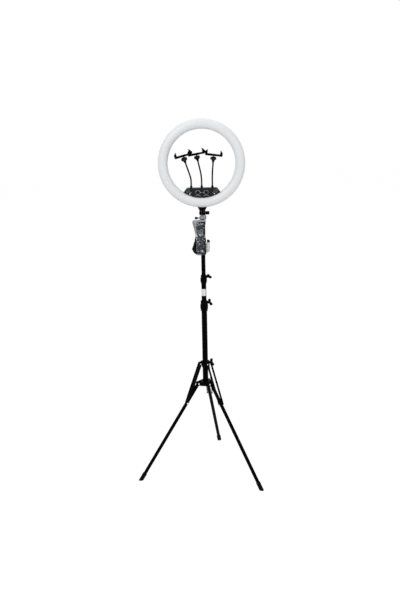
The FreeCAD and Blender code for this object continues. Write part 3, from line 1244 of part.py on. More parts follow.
# ---------------------------------------------------------------- the whole ring light
def build():
    """Every part of the assembly, in its resting pose."""
    build_tripod()
    build_column()
    build_bracket()
    build_lamp()
    build_control_box()
    build_holders()
    build_bag()


def main():
    """Build every node, check its solids, and write one STEP file for each."""
    os.makedirs("parts", exist_ok=True)
    build()
    for node, solids in NODES.items():
        shape = Part.makeCompound(solids) if len(solids) > 1 else solids[0]
        assert shape.isValid(), node
        for solid in solids:
            assert len(solid.Solids) == 1, (node, len(solid.Solids))
        shape.exportStep(f"parts/{node}.step")
    print(len(NODES), "nodes,", sum(len(s) for s in NODES.values()), "solids")


main()
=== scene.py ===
"""The looks of a ring light on a folding stand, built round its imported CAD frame. Metres, +Z up."""

import json
import math

import bmesh
import bpy
import numpy as np
from mathutils import Matrix, Vector, noise


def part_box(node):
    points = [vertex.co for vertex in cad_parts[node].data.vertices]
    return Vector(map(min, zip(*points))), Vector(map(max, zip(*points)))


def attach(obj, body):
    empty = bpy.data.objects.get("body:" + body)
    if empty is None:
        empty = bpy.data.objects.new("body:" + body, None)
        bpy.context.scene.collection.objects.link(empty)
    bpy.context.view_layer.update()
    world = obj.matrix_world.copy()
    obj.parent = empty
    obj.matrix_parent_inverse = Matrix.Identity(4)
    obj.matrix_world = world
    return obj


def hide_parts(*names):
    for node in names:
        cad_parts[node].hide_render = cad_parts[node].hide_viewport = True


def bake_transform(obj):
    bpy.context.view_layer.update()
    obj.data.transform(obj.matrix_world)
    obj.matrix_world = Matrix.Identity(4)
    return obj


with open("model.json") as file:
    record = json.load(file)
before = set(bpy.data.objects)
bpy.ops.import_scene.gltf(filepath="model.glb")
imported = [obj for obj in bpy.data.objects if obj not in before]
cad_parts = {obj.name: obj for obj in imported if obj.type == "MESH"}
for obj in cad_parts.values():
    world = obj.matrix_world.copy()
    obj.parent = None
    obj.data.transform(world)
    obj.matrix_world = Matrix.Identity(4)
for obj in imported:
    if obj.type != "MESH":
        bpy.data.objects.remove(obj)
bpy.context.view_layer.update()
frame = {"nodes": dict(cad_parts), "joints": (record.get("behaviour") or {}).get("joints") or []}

MM = 0.001
UP = Vector((0, 0, 1))
EAST = Vector((1, 0, 0))
NORTH = Vector((0, 1, 0))


# ---------------------------------------------------------------- camera, light and floor
# The photo's camera, fitted to the ring, the column and the feet. The fit's own roll was -1.13 degrees;
# the 0.04 between them moves nothing on the object by more than a fifth of a pixel.
CAMERA_PLACE = Vector((0.0, -3.9002, 2.0019))
CAMERA_PITCH, CAMERA_ROLL, CAMERA_YAW = math.radians(14.55), math.radians(-1.17), math.radians(-0.32)
CAMERA_LENS = 45.16
FLOOR_GLOW = 1.17


def set_camera():
    """The camera that looks on as the photo's did."""
    pitch, roll, yaw = CAMERA_PITCH, CAMERA_ROLL, CAMERA_YAW
    level = Vector((math.sin(yaw), math.cos(yaw), 0))
    side = Vector((math.cos(yaw), -math.sin(yaw), 0))
    ahead = math.cos(pitch) * level - math.sin(pitch) * UP
    above = math.sin(pitch) * level + math.cos(pitch) * UP
    right = math.cos(roll) * side + math.sin(roll) * above
    upright = -math.sin(roll) * side + math.cos(roll) * above
    turn = Matrix((right, upright, -ahead)).transposed().to_4x4()
    camera = bpy.data.cameras.new("camera")
    camera.lens = CAMERA_LENS
    camera.sensor_width = 36.0
    camera.sensor_fit = "AUTO"
    camera.clip_end = 60.0
    holder = bpy.data.objects.new("camera", camera)
    holder.matrix_world = Matrix.Translation(CAMERA_PLACE) @ turn
    bpy.context.scene.collection.objects.link(holder)
    bpy.context.scene.camera = holder


def area_light(name, place, target, size, power):
    """A soft rectangular light, in watts, that points at a target."""
    light = bpy.data.lights.new(name, "AREA")
    light.shape = "RECTANGLE"
    light.size, light.size_y = size
    light.energy = power
    holder = bpy.data.objects.new(name, light)
    holder.location = place
    holder.rotation_euler = (Vector(target) - Vector(place)).to_track_quat("-Z", "Y").to_euler()
    bpy.context.scene.collection.objects.link(holder)


def backdrop_factor(nodes, links):
    """1 where the camera, a reflection or a look through something sees the surface, else 0."""
    path = nodes.new("ShaderNodeLightPath")
    total = nodes.new("ShaderNodeMath")
    total.operation = "MAXIMUM"
    links.new(path.outputs["Is Camera Ray"], total.inputs[0])
    links.new(path.outputs["Is Glossy Ray"], total.inputs[1])
    both = nodes.new("ShaderNodeMath")
    both.operation = "MAXIMUM"
    links.new(total.outputs[0], both.inputs[0])
    links.new(path.outputs["Is Transmission Ray"], both.inputs[1])
    return both.outputs[0]


def set_world(fill):
    """White to the camera and to reflections, and an even fill light to everything else."""
    world = bpy.data.worlds.new("studio")
    bpy.context.scene.world = world
    world.use_nodes = True
    nodes, links = world.node_tree.nodes, world.node_tree.links
    nodes.clear()
    seen = backdrop_factor(nodes, links)
    low = nodes.new("ShaderNodeBackground")
    low.inputs["Strength"].default_value = fill
    white = nodes.new("ShaderNodeBackground")
    white.inputs["Strength"].default_value = 1.0
    for background in (low, white):
        background.inputs["Color"].default_value = (1, 1, 1, 1)
    mix = nodes.new("ShaderNodeMixShader")
    out = nodes.new("ShaderNodeOutputWorld")
    links.new(seen, mix.inputs[0])
    links.new(low.outputs[0], mix.inputs[1])
    links.new(white.outputs[0], mix.inputs[2])
    links.new(mix.outputs[0], out.inputs["Surface"])


def add_floor(shadow_share):
    """A pale floor that glows white to the camera and keeps a share of what falls on it, with its shadows."""
    bpy.ops.mesh.primitive_plane_add(size=40, location=(0, 0, -0.0006))
    floor = bpy.context.object
    floor.name = "studio_floor"
    mat = bpy.data.materials.new("studio_floor")
    mat.use_nodes = True
    nodes, links = mat.node_tree.nodes, mat.node_tree.links
    nodes.clear()
    seen = backdrop_factor(nodes, links)
    share = nodes.new("ShaderNodeMath")
    share.operation = "MULTIPLY"
    share.inputs[1].default_value = 1 - shadow_share
    diffuse = nodes.new("ShaderNodeBsdfDiffuse")
    diffuse.inputs["Color"].default_value = (0.9, 0.9, 0.9, 1)
    glow = nodes.new("ShaderNodeEmission")
    glow.inputs["Strength"].default_value = FLOOR_GLOW
    mix = nodes.new("ShaderNodeMixShader")
    out = nodes.new("ShaderNodeOutputMaterial")
    links.new(seen, share.inputs[0])
    links.new(share.outputs[0], mix.inputs[0])
    links.new(diffuse.outputs[0], mix.inputs[1])
    links.new(glow.outputs[0], mix.inputs[2])
    links.new(mix.outputs[0], out.inputs["Surface"])
    floor.data.materials.append(mat)


# ---------------------------------------------------------------- materials
def surface(name, colour, rough, spread=0.15, rough_spread=0.06, grain=900.0, bump=0.12, stretch=(1, 1, 1),
            metallic=0.0, specular=0.5, mottle=14.0, worn=None, wear=0.0):
    """A finished procedural surface: mottled colour, uneven gloss, fine grain and light wear."""
    mat = bpy.data.materials.new(name)
    mat.use_nodes = True
    nodes, links = mat.node_tree.nodes, mat.node_tree.links
    shader = nodes["Principled BSDF"]
    shader.inputs["Metallic"].default_value = metallic
    shader.inputs["Specular IOR Level"].default_value = specular
    where = nodes.new("ShaderNodeTexCoord")
    scale = nodes.new("ShaderNodeMapping")
    scale.inputs["Scale"].default_value = stretch
    links.new(where.outputs["Object"], scale.inputs["Vector"])

    def cloud(size, detail, low, high, source):
        texture = nodes.new("ShaderNodeTexNoise")
        texture.inputs["Scale"].default_value = size
        texture.inputs["Detail"].default_value = detail
        links.new(source, texture.inputs["Vector"])
        ramp = nodes.new("ShaderNodeMapRange")
        ramp.inputs["From Min"].default_value = 0.3
        ramp.inputs["From Max"].default_value = 0.7
        ramp.inputs["To Min"].default_value = low
        ramp.inputs["To Max"].default_value = high
        links.new(texture.outputs["Fac"], ramp.inputs["Value"])
        return ramp.outputs["Result"]

    ramp = nodes.new("ShaderNodeValToRGB")
    dark = [c * (1 - spread) for c in colour]
    light = [min(1.0, c * (1 + spread)) for c in colour]
    ramp.color_ramp.elements[0].color = (*dark, 1)
    ramp.color_ramp.elements[1].color = (*light, 1)
    links.new(cloud(mottle, 4, 0, 1, where.outputs["Object"]), ramp.inputs["Fac"])
    tint = ramp.outputs["Color"]
    gloss = cloud(mottle * 5, 3, rough - rough_spread, rough + rough_spread, scale.outputs["Vector"])
    if worn is not None:
        scuff = nodes.new("ShaderNodeMapRange")
        scuff.inputs["From Min"].default_value = 0.68
        scuff.inputs["From Max"].default_value = 0.8
        scuff.inputs["To Max"].default_value = wear
        flecks = nodes.new("ShaderNodeTexNoise")
        flecks.inputs["Scale"].default_value = 160.0
        flecks.inputs["Detail"].default_value = 6
        links.new(scale.outputs["Vector"], flecks.inputs["Vector"])
        links.new(flecks.outputs["Fac"], scuff.inputs["Value"])
        blend = nodes.new("ShaderNodeMix")
        blend.data_type = "RGBA"
        links.new(scuff.outputs["Result"], blend.inputs[0])
        links.new(tint, blend.inputs[6])
        blend.inputs[7].default_value = (*worn, 1)
        tint = blend.outputs[2]
    links.new(tint, shader.inputs["Base Color"])
    links.new(gloss, shader.inputs["Roughness"])
    fine = nodes.new("ShaderNodeTexNoise")
    fine.inputs["Scale"].default_value = grain
    fine.inputs["Detail"].default_value = 3
    links.new(scale.outputs["Vector"], fine.inputs["Vector"])
    relief = nodes.new("ShaderNodeBump")
    relief.inputs["Strength"].default_value = bump
    relief.inputs["Distance"].default_value = 0.0003
    links.new(fine.outputs["Fac"], relief.inputs["Height"])
    links.new(relief.outputs["Normal"], shader.inputs["Normal"])
    return mat


def film_surface(name, colour, clear, sheen_opacity, crease):
    """Crumpled film: clearer where it lies flat, with a painted whitish sheen along its creases and small
    painted glints.
    """
    mat = surface(name, colour, 0.2, spread=0.2, grain=400, bump=0.35, specular=0.3)
    nodes, links = mat.node_tree.nodes, mat.node_tree.links
    shader = nodes["Principled BSDF"]
    where = nodes.new("ShaderNodeTexCoord")

    def noise_at(size, detail, distortion):
        texture = nodes.new("ShaderNodeTexNoise")
        texture.inputs["Scale"].default_value = size
        texture.inputs["Detail"].default_value = detail
        texture.inputs["Distortion"].default_value = distortion
        links.new(where.outputs["Object"], texture.inputs["Vector"])
        return texture.outputs["Fac"]

    def spread_range(source, low, high, out_low, out_high):
        ramp = nodes.new("ShaderNodeMapRange")
        ramp.inputs["From Min"].default_value = low
        ramp.inputs["From Max"].default_value = high
        ramp.inputs["To Min"].default_value = out_low
        ramp.inputs["To Max"].default_value = out_high
        links.new(source, ramp.inputs["Value"])
        return ramp.outputs["Result"]

    def maths(kind, first, second):
        node = nodes.new("ShaderNodeMath")
        node.operation = kind
        node.use_clamp = True
        links.new(first, node.inputs[0])
        if isinstance(second, float):
            node.inputs[1].default_value = second
        else:
            links.new(second, node.inputs[1])
        return node.outputs[0]

    away = nodes.new("ShaderNodeMath")
    away.operation = "SUBTRACT"
    away.inputs[1].default_value = 0.5
    links.new(noise_at(crease, 2.5, 1.2), away.inputs[0])
    size = nodes.new("ShaderNodeMath")
    size.operation = "ABSOLUTE"
    links.new(away.outputs[0], size.inputs[0])
    # Painted highlights: whitish lines along the creases, shown in patches, and small glints, which stand in
    # for light caught on the crumpled film.
    lines = spread_range(size.outputs[0], 0.0, 0.05, 1.0, 0.0)
    patches = spread_range(noise_at(crease * 0.6, 2.0, 0.4), 0.42, 0.62, 0.1, 1.0)
    glints = spread_range(noise_at(crease * 1.8, 1.0, 0.6), 0.62, 0.68, 0.0, 1.0)
    painted_sheen = maths("MAXIMUM", maths("MULTIPLY", lines, patches), glints)
    base = shader.inputs["Base Color"].links[0].from_socket
    blend = nodes.new("ShaderNodeMix")
    blend.data_type = "RGBA"
    links.new(painted_sheen, blend.inputs[0])
    links.new(base, blend.inputs[6])
    # The colour of the painted highlights; the film is made more opaque where they lie.
    blend.inputs[7].default_value = (0.80, 0.83, 0.87, 1)
    links.new(blend.outputs[2], shader.inputs["Base Color"])
    links.new(spread_range(painted_sheen, 0.0, 1.0, clear, sheen_opacity), shader.inputs["Alpha"])
    return mat


# Each finish: its colour and roughness, then what differs from a plain one.
FINISHES = {
    "black_tube": dict(colour=(0.0012, 0.0013, 0.0015), rough=0.24, stretch=(1, 1, 0.06), grain=1500,
                       bump=0.05, specular=0.016, worn=(0.03, 0.03, 0.032), wear=0.2),
    "black_plastic": dict(colour=(0.0014, 0.0015, 0.0018), rough=0.42, grain=2600, bump=0.25, specular=0.02,
                          worn=(0.07, 0.07, 0.075), wear=0.12),
    "black_steel": dict(colour=(0.0016, 0.0017, 0.002), rough=0.32, grain=1200, bump=0.10, specular=0.022,
                        worn=(0.30, 0.30, 0.31), wear=0.12),
    "steel": dict(colour=(0.52, 0.52, 0.53), rough=0.30, grain=1800, bump=0.08, metallic=1.0,
                  worn=(0.25, 0.24, 0.23), wear=0.3),
    "black_rubber": dict(colour=(0.003, 0.003, 0.0033), rough=0.72, grain=1600, bump=0.5, specular=0.05,
                         worn=(0.05, 0.048, 0.045), wear=0.3),
    "bush_plastic": dict(colour=(0.03, 0.03, 0.032), rough=0.5, grain=1800, bump=0.15),
    "diffuser_white": dict(colour=(0.83, 0.835, 0.85), rough=0.36, spread=0.012, rough_spread=0.05,
                           grain=1100, bump=0.06, mottle=9, specular=0.3),
    "housing_black": dict(colour=(0.006, 0.006, 0.007), rough=0.48, grain=2200, bump=0.35, specular=0.15,
                          worn=(0.07, 0.07, 0.075), wear=0.1),
    "board_white": dict(colour=(0.78, 0.79, 0.78), rough=0.4, spread=0.03, grain=800, bump=0.05),
    "chip_yellow": dict(colour=(0.82, 0.66, 0.18), rough=0.3, spread=0.05, grain=3000, bump=0.1),
    "panel_slate": dict(colour=(0.0075, 0.0092, 0.0115), rough=0.36, grain=2400, bump=0.18, specular=0.16,
                        worn=(0.12, 0.13, 0.14), wear=0.14),
    "nut_slate": dict(colour=(0.0085, 0.0100, 0.0120), rough=0.38, grain=2600, bump=0.25, specular=0.12),
    "board_green": dict(colour=(0.02, 0.16, 0.06), rough=0.35, grain=500, bump=0.1),
    "dial_black": dict(colour=(0.004, 0.0042, 0.005), rough=0.36, grain=2600, bump=0.15, specular=0.12),
    "lens_white": dict(colour=(0.86, 0.87, 0.88), rough=0.18, spread=0.02, grain=1200, bump=0.03),
    "gooseneck_black": dict(colour=(0.0014, 0.0015, 0.0018), rough=0.38, grain=2000, bump=0.2, specular=0.022,
                            worn=(0.08, 0.08, 0.085), wear=0.15),
    "pack_grey": dict(colour=(0.030, 0.034, 0.040), rough=0.4, spread=0.55, grain=1500, bump=0.3,
                      specular=0.25, mottle=60),
    "strap_black": dict(colour=(0.004, 0.004, 0.0045), rough=0.8, specular=0.1, grain=3000, bump=0.6),
    "mark_grey": dict(colour=(0.30, 0.32, 0.34), rough=0.45, grain=1800, bump=0.05),
    "mark_white": dict(colour=(0.62, 0.64, 0.66), rough=0.5, spread=0.05, grain=1800, bump=0.05),
    "rim_grey": dict(colour=(0.20, 0.215, 0.235), rough=0.3, grain=2200, bump=0.1),
    "bright_steel": dict(colour=(0.75, 0.75, 0.76), rough=0.22, grain=1800, bump=0.05, metallic=1.0,
                         worn=(0.4, 0.39, 0.38), wear=0.2),
    "label_white": dict(colour=(0.80, 0.80, 0.79), rough=0.42, spread=0.02, grain=1400, bump=0.05,
                        worn=(0.55, 0.54, 0.52), wear=0.25),
}
# Each film: its colour, then how much of it shows where it lies flat and where it carries the painted sheen
# of its creases and glints.
FILMS = {
    "bag_film": dict(colour=(0.05, 0.055, 0.065), clear=0.12, sheen_opacity=0.9, crease=60.0),
    "film_pale": dict(colour=(0.62, 0.64, 0.67), clear=0.55, sheen_opacity=0.95, crease=80.0),
    "film_grey": dict(colour=(0.20, 0.215, 0.235), clear=0.62, sheen_opacity=0.96, crease=80.0),
}
MATERIALS = {name: surface(name, **finish) for name, finish in FINISHES.items()}
MATERIALS.update({name: film_surface(name, **film) for name, film in FILMS.items()})

# ---------------------------------------------------------------- mesh helpers
# How near its axis a turned outline comes, in millimetres.
CENTRE = 0.01
joints = {joint["name"]: joint for joint in frame["joints"]}


def joint_at(name):
    """A joint's place in the row frame, in metres."""
    return Vector(joints[name]["pos_m"])


def mesh_piece(name, points, faces, material, body=None, smooth=True):
    """A piece from its points and faces, shaded smooth but for its sharp edges."""
    mesh = bpy.data.meshes.new(name)
    mesh.from_pydata([tuple(p) for p in points], [], faces)
    build = bmesh.new()
    build.from_mesh(mesh)
    bmesh.ops.remove_doubles(build, verts=build.verts, dist=1e-7)
    bmesh.ops.recalc_face_normals(build, faces=build.faces)
    build.to_mesh(mesh)
    build.free()
    piece = bpy.data.objects.new(name, mesh)
    bpy.context.scene.collection.objects.link(piece)
    piece.data.materials.append(MATERIALS[material])
    if smooth:
        mesh.shade_smooth()
        mesh.set_sharp_from_angle(angle=math.radians(42))
    if body is not None:
        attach(piece, body)
    return piece


def grid_faces(rings, sides, wrap_rings=False, wrap_sides=True):
    """Quads between rings of points that follow each other."""
    faces = []
    last_ring = rings if wrap_rings else rings - 1
    last_side = sides if wrap_sides else sides - 1
    for i in range(last_ring):
        for j in range(last_side):
            k, m = (i + 1) % rings, (j + 1) % sides
            faces.append((i * sides + j, i * sides + m, k * sides + m, k * sides + j))
    return faces


def end_caps(rings, sides):
    """The faces that close the first and the last ring."""
    return [tuple(range(sides)), tuple(range((rings - 1) * sides, rings * sides))]


def frame_about(axis):
    """Two unit vectors square to an axis."""
    first = axis.cross(NORTH if abs(axis.y) < 0.9 else EAST).normalized()
    return first, axis.cross(first).normalized()


def turned_piece(name, outline, centre, axis, material, body, sides=40):
    """A closed outline of (radius, height) swept once round an axis."""
    axis = axis.normalized()
    first, second = frame_about(axis)
    points = []
    for radius, height in outline:
        for j in range(sides):
            turn = 2 * math.pi * j / sides
            out = first * math.cos(turn) + second * math.sin(turn)
            points.append(centre + axis * height + out * radius)
    return mesh_piece(name, points, grid_faces(len(outline), sides, wrap_rings=True), material, body)


def tube_piece(name, path, radii, material, body, sides):
    """A round tube along a path of points, closed at its ends."""
    points = []
    first = None
    for i, at in enumerate(path):
        along = (path[min(i + 1, len(path) - 1)] - path[max(i - 1, 0)]).normalized()
        if first is None:
            first, _ = frame_about(along)
        first = (first - along * first.dot(along)).normalized()
        second = along.cross(first)
        for j in range(sides):
            turn = 2 * math.pi * j / sides
            points.append(at + (first * math.cos(turn) + second * math.sin(turn)) * radii[i])
    faces = grid_faces(len(path), sides) + end_caps(len(path), sides)
    return mesh_piece(name, points, faces, material, body)


def thicken(piece, thick, offset=0):
    """Gives a sheet its thickness, to both sides of it or, with an offset of 1, outward."""
    solid = piece.modifiers.new("thickness", "SOLIDIFY")
    solid.thickness = thick * MM
    solid.offset = offset


def millimetres(outline):
    """An outline given in millimetres, in metres."""
    return [(first * MM, second * MM) for first, second in outline]


# ---------------------------------------------------------------- goosenecks and their cups
# The neck's sizes are in metres, and the cup's from BALL_RISE on in millimetres.
NECK_R = 4.25 * MM
NECK_SIDES = 18
RIB_PITCH = 1.9 * MM
RIB_STEPS = 4
RIB_DEPTH = 0.55 * MM
RIBS_BELOW_FOOT = 2
ARM_STRAIGHT = 14.0 * MM
BALL_RISE = 15.0
CUP_BALL_R = 7.32
CUP_R = 8.88
CUP_TOP = 14.8
CUP_GAP = 0.1


def arm_path(name, step):
    """The arm's middle line: straight up from its foot, round an arc, then straight to its tip."""
    foot = joint_at(f"{name}_arm_bend")
    along = Vector(joints[f"{name}_clip_swivel"]["axis"]).normalized()
    tip = joint_at(f"{name}_clip_swivel") - along * BALL_RISE * MM
    shift = Vector((tip.x - foot.x, tip.y - foot.y, 0))
    side = shift.normalized()
    angle = along.angle(UP)
    last = ARM_STRAIGHT + shift.length / math.tan(angle / 2) - (tip.z - foot.z)
    radius = (shift.length - last * math.sin(angle)) / (1 - math.cos(angle))
    bend = foot + UP * ARM_STRAIGHT
    total = ARM_STRAIGHT + radius * angle + last
    path = []
    for i in range(int(total / step) + 1):
        s = i * step
        if s < ARM_STRAIGHT:
            path.append(foot + UP * s)
        elif s < ARM_STRAIGHT + radius * angle:
            turn = (s - ARM_STRAIGHT) / radius
            path.append(bend + side * radius * (1 - math.cos(turn)) + UP * radius * math.sin(turn))
        else:
            path.append(tip - along * (total - s))
    return path, tip, along


def cup_outline():
    """The ball cup's (radius, height) in millimetres: a beaded sleeve, then the cup and its hollow."""
    bore = NECK_R / MM + CUP_GAP
    outline = [(bore, -9.0), (bore + 0.5, -9.0), (5.9, -6.0), (6.2, -5.4), (6.2, -3.4), (5.7, -3.1),
               (5.7, -2.5), (6.2, -2.2), (6.2, -0.6), (5.9, -0.2), (7.8, 0.0), (8.6, 0.25), (CUP_R, 0.9),
               (CUP_R, CUP_TOP - 0.4), (CUP_R - 0.18, CUP_TOP), (CUP_BALL_R, CUP_TOP)]
    for k in range(1, 9):
        turn = math.pi / 2 * k / 8
        outline.append((max(CUP_BALL_R * math.cos(turn), CENTRE), BALL_RISE - CUP_BALL_R * math.sin(turn)))
    return outline + [(CENTRE, 2.4), (bore, 2.4)]


def add_arms():
    """Ribbed goosenecks along their arms, each with the cup that holds its clip's ball."""
    step = RIB_PITCH / RIB_STEPS
    for name in ("left", "middle", "right"):
        path, tip, along = arm_path(name, step)
        foot = path[0]
        path = [foot - UP * step * k for k in range(RIBS_BELOW_FOOT * RIB_STEPS, 0, -1)] + path
        radii = [NECK_R - RIB_DEPTH * (0.5 - 0.5 * math.cos(2 * math.pi * i / RIB_STEPS))
                 for i in range(len(path))]
        neck = tube_piece(f"{name}_gooseneck", path, radii, "gooseneck_black", None, NECK_SIDES)
        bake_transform(neck)
        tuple(foot)
        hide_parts(f"{name}_arm")
        turned_piece(f"{name}_ball_cup", millimetres(cup_outline()), tip, along, "gooseneck_black",
                     f"{name}_arm")


# ---------------------------------------------------------------- marks on the control panel
def flat_marks(name, shapes, plane_y, thick, material, body):
    """Thin raised shapes on a plane across Y, each an outline of (x, z) points."""
    points, faces = [], []
    for shape in shapes:
        base = len(points)
        count = len(shape)
        points += [Vector((x, plane_y, z)) for x, z in shape]
        points += [Vector((x, plane_y - thick, z)) for x, z in shape]
        faces.append(tuple(range(base, base + count)))
        faces.append(tuple(range(base + count, base + 2 * count)))
        for j in range(count):
            m = (j + 1) % count
            faces.append((base + j, base + m, base + count + m, base + count + j))
    return mesh_piece(name, points, faces, material, body, smooth=False)


def arc_band(cx, cz, inner, outer, start, end, steps):
    """An arc of changing width, as one outline: inner and outer give radii at its two ends."""
    near, far = [], []
    for i in range(steps + 1):
        share = i / steps
        turn = math.radians(start + (end - start) * share)
        r0 = inner[0] + (inner[1] - inner[0]) * share
        r1 = outer[0] + (outer[1] - outer[0]) * share
        near.append((cx + r0 * math.cos(turn), cz + r0 * math.sin(turn)))
        far.append((cx + r1 * math.cos(turn), cz + r1 * math.sin(turn)))
    return near + far[::-1]


# Radii and sizes of the panel's marks, in millimetres.
SCALE_INNER, SCALE_THIN, SCALE_WIDE = 10.7, 11.2, 12.4
ARCH_DROP, ARCH_INNER, ARCH_OUTER = 26.5, 13.0, 15.2
TICKS, TICK_FROM, TICK_TO, TICK_HALF = 11, 13.1, 14.1, 0.22
ARROW_X, ARROW_LENGTH, ARROW_HALF = 57.0, 2.8, 2.2
LEGEND_INNER, LEGEND_OUTER = 1.7, 2.2
DIAL_RIM = [(8.9, 0), (8.9, 0.45), (9.1, 0.6), (9.9, 0.6), (10.2, 0.45), (10.2, 0)]
BEZEL_RING = [(7.15, 0), (7.15, 0.5), (7.5, 0.75), (8.5, 0.75), (8.9, 0.4), (8.9, 0)]
BEZEL_DROP = 1.6
FRONT = Vector((0, -1, 0))


def scale_bands(at):
    """Two tapered arcs beside a dial and an even arch under it."""
    even, tapered = (SCALE_INNER * MM, SCALE_INNER * MM), (SCALE_THIN * MM, SCALE_WIDE * MM)
    return [arc_band(at.x, at.z, even, tapered, 215, 105, 30),
            arc_band(at.x, at.z, even, tapered[::-1], 75, -35, 30),
            arc_band(at.x, at.z - ARCH_DROP * MM, (ARCH_INNER * MM, ARCH_INNER * MM),
                     (ARCH_OUTER * MM, ARCH_OUTER * MM), 146, 34, 40)]


def scale_ticks(at):
    """Short strokes round a dial, but for those that would point at the arch under it."""
    centre = Vector((at.x, at.z))
    ticks = []
    for k in range(TICKS):
        turn = math.radians(235 - 29 * k)
        out = Vector((math.cos(turn), math.sin(turn)))
        across = Vector((-out.y, out.x)) * TICK_HALF * MM
        near, far = centre + out * TICK_FROM * MM, centre + out * TICK_TO * MM
        if out.y > -0.6:
            ticks.append([tuple(p) for p in (near - across, far - across, far + across, near + across)])
    return ticks


def add_panel_marks():
    """Printed marks and raised rims on the control panel; the same plane serves them all."""
    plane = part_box("indicator_lenses")[0].y + 1.0 * MM
    for body, joint in (("brightness_dial", "brightness_turn"), ("colour_dial", "colour_turn")):
        at = joint_at(joint)
        flat_marks(f"{body}_scale", scale_bands(at), plane, 0.18 * MM, "mark_grey", "lamp_head")
        flat_marks(f"{body}_ticks", scale_ticks(at), plane, 0.15 * MM, "mark_white", "lamp_head")
        turned_piece(f"{body}_rim", millimetres(DIAL_RIM), Vector((at.x, plane, at.z)), FRONT, "rim_grey",
                     "lamp_head", sides=64)
    level = joint_at("brightness_turn").z
    arrows = []
    for sign in (-1, 1):
        tip = sign * (ARROW_X + ARROW_LENGTH) * MM
        tail = sign * (ARROW_X - 0.6 * ARROW_LENGTH) * MM
        arrows.append([(tip, level), (tail, level + ARROW_HALF * MM), (tail, level - ARROW_HALF * MM)])
    flat_marks("panel_arrows", arrows, plane, 0.16 * MM, "mark_white", "lamp_head")
    for name in ("power", "mode"):
        button_low, button_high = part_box(f"{name}_button")
        at = (button_low + button_high) / 2
        seat = Vector((at.x, plane - BEZEL_DROP * MM, at.z))
        turned_piece(f"{name}_bezel_ring", millimetres(BEZEL_RING), seat, FRONT, "rim_grey", "lamp_head",
                     sides=56)
        legend = [arc_band(at.x, at.z, (LEGEND_INNER * MM, LEGEND_INNER * MM),
                           (LEGEND_OUTER * MM, LEGEND_OUTER * MM), 120, 420, 28)]
        flat_marks(f"{name}_legend", legend, button_low.y + 0.7 * MM, 0.2 * MM, "mark_white",
                   f"{name}_button")


# ---------------------------------------------------------------- label, caps and rubber ribs
def wrapped_sheet(name, centre, radius, bottom, top, start, end, thick, material, body):
    """A thin label round part of a tube, its corners rounded."""
    cols, rows = 48, 10
    corner = 2.0 * MM
    outer, inner = [], []
    for i in range(rows + 1):
        z = bottom + (top - bottom) * i / rows
        from_edge = min(z - bottom, top - z)
        pull = corner - math.sqrt(max(0.0, corner ** 2 - max(0.0, corner - from_edge) ** 2))
        for j in range(cols + 1):
            turn = start + pull / radius + (end - start - 2 * pull / radius) * j / cols
            out = Vector((math.cos(turn), math.sin(turn), 0))
            outer.append(Vector((centre.x, centre.y, z)) + out * (radius + thick))
            inner.append(Vector((centre.x, centre.y, z)) + out * radius)
    count = len(outer)
    faces = grid_faces(rows + 1, cols + 1, wrap_sides=False)
    faces += [tuple(count + k for k in reversed(face)) for face in faces]
    edge = list(range(cols + 1)) + [(i + 1) * (cols + 1) + cols for i in range(rows)]
    edge += [rows * (cols + 1) + j for j in range(cols - 1, -1, -1)]
    edge += [i * (cols + 1) for i in range(rows - 1, 0, -1)]
    for a, b in zip(edge, edge[1:] + edge[:1]):
        faces.append((a, b, b + count, a + count))
    return mesh_piece(name, outer + inner, faces, material, body)


MIDDLE_TUBE_R = 13.0 * MM
LABEL_RISE = 29 * MM
LABEL_HEIGHT = 37 * MM


def add_label():
    """A blank label, thin enough to slide down inside the mid clamp's bush."""
    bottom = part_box("mid_clamp")[1].z + LABEL_RISE
    wrapped_sheet("blank_label", Vector((0, 0, 0)), MIDDLE_TUBE_R + 0.015 * MM, bottom, bottom + LABEL_HEIGHT,
                  math.radians(-178), math.radians(-38), 0.05 * MM, "label_white", "middle_tube")


def dome_cap(name, place, axis, radius, height, material, body):
    """A pressed rivet cap: a flat rim, a step and a shallow dome."""
    outline = [(CENTRE, 0.0), (radius, 0.0), (radius, height * 0.22), (radius * 0.93, height * 0.34),
               (radius * 0.84, height * 0.36)]
    for k in range(1, 9):
        turn = math.pi / 2 * k / 8
        outline.append((max(radius * 0.84 * math.cos(turn), CENTRE), height * (0.36 + 0.64 * math.sin(turn))))
    return turned_piece(name, millimetres(outline), place, axis, material, body, sides=36)


LEG_LEAN = math.radians(33.5)
BRACE_REACH = 123 * MM
BRACE_FACE = 16.45 * MM
FOOT_RIBS_FROM = 583.0 * MM
FOOT_RIB_PITCH = 4.2 * MM
FOOT_RIB = [(11.3, -0.9), (11.95, -0.55), (12.1, 0), (11.95, 0.55), (11.3, 0.9)]


def leg_line(number):
    """A leg's pivot and the way down along the leg."""
    pivot = joint_at(f"leg_{number}_fold")
    out = Vector((pivot.x, pivot.y, 0)).normalized()
    return pivot, (out * math.sin(LEG_LEAN) - UP * math.cos(LEG_LEAN)).normalized()


def add_rivet_caps():
    """Bright caps on the rivets between each brace and its leg."""
    for number in (1, 2, 3):
        pivot, down = leg_line(number)
        across = Vector(joints[f"leg_{number}_fold"]["axis"]).normalized()
        for side, sign in (("a", 1), ("b", -1)):
            face = pivot + down * BRACE_REACH + across * sign * BRACE_FACE
            dome_cap(f"leg_{number}_rivet_cap_{side}", face, across * sign, 4.9, 1.9, "bright_steel",
                     f"brace_{number}")


def add_foot_ribs():
    """Raised ribs round each rubber foot."""
    for number in (1, 2, 3):
        pivot, down = leg_line(number)
        for k in range(4):
            centre = pivot + down * (FOOT_RIBS_FROM + FOOT_RIB_PITCH * k)
            turned_piece(f"foot_{number}_rib_{k}", millimetres(FOOT_RIB), centre, down, "black_rubber",
                         f"leg_{number}", sides=44)


JAW_FACE = 32.5 * MM
PAD_RIB_FROM = 20.5 * MM
PAD_RIB_PITCH = 3.6 * MM
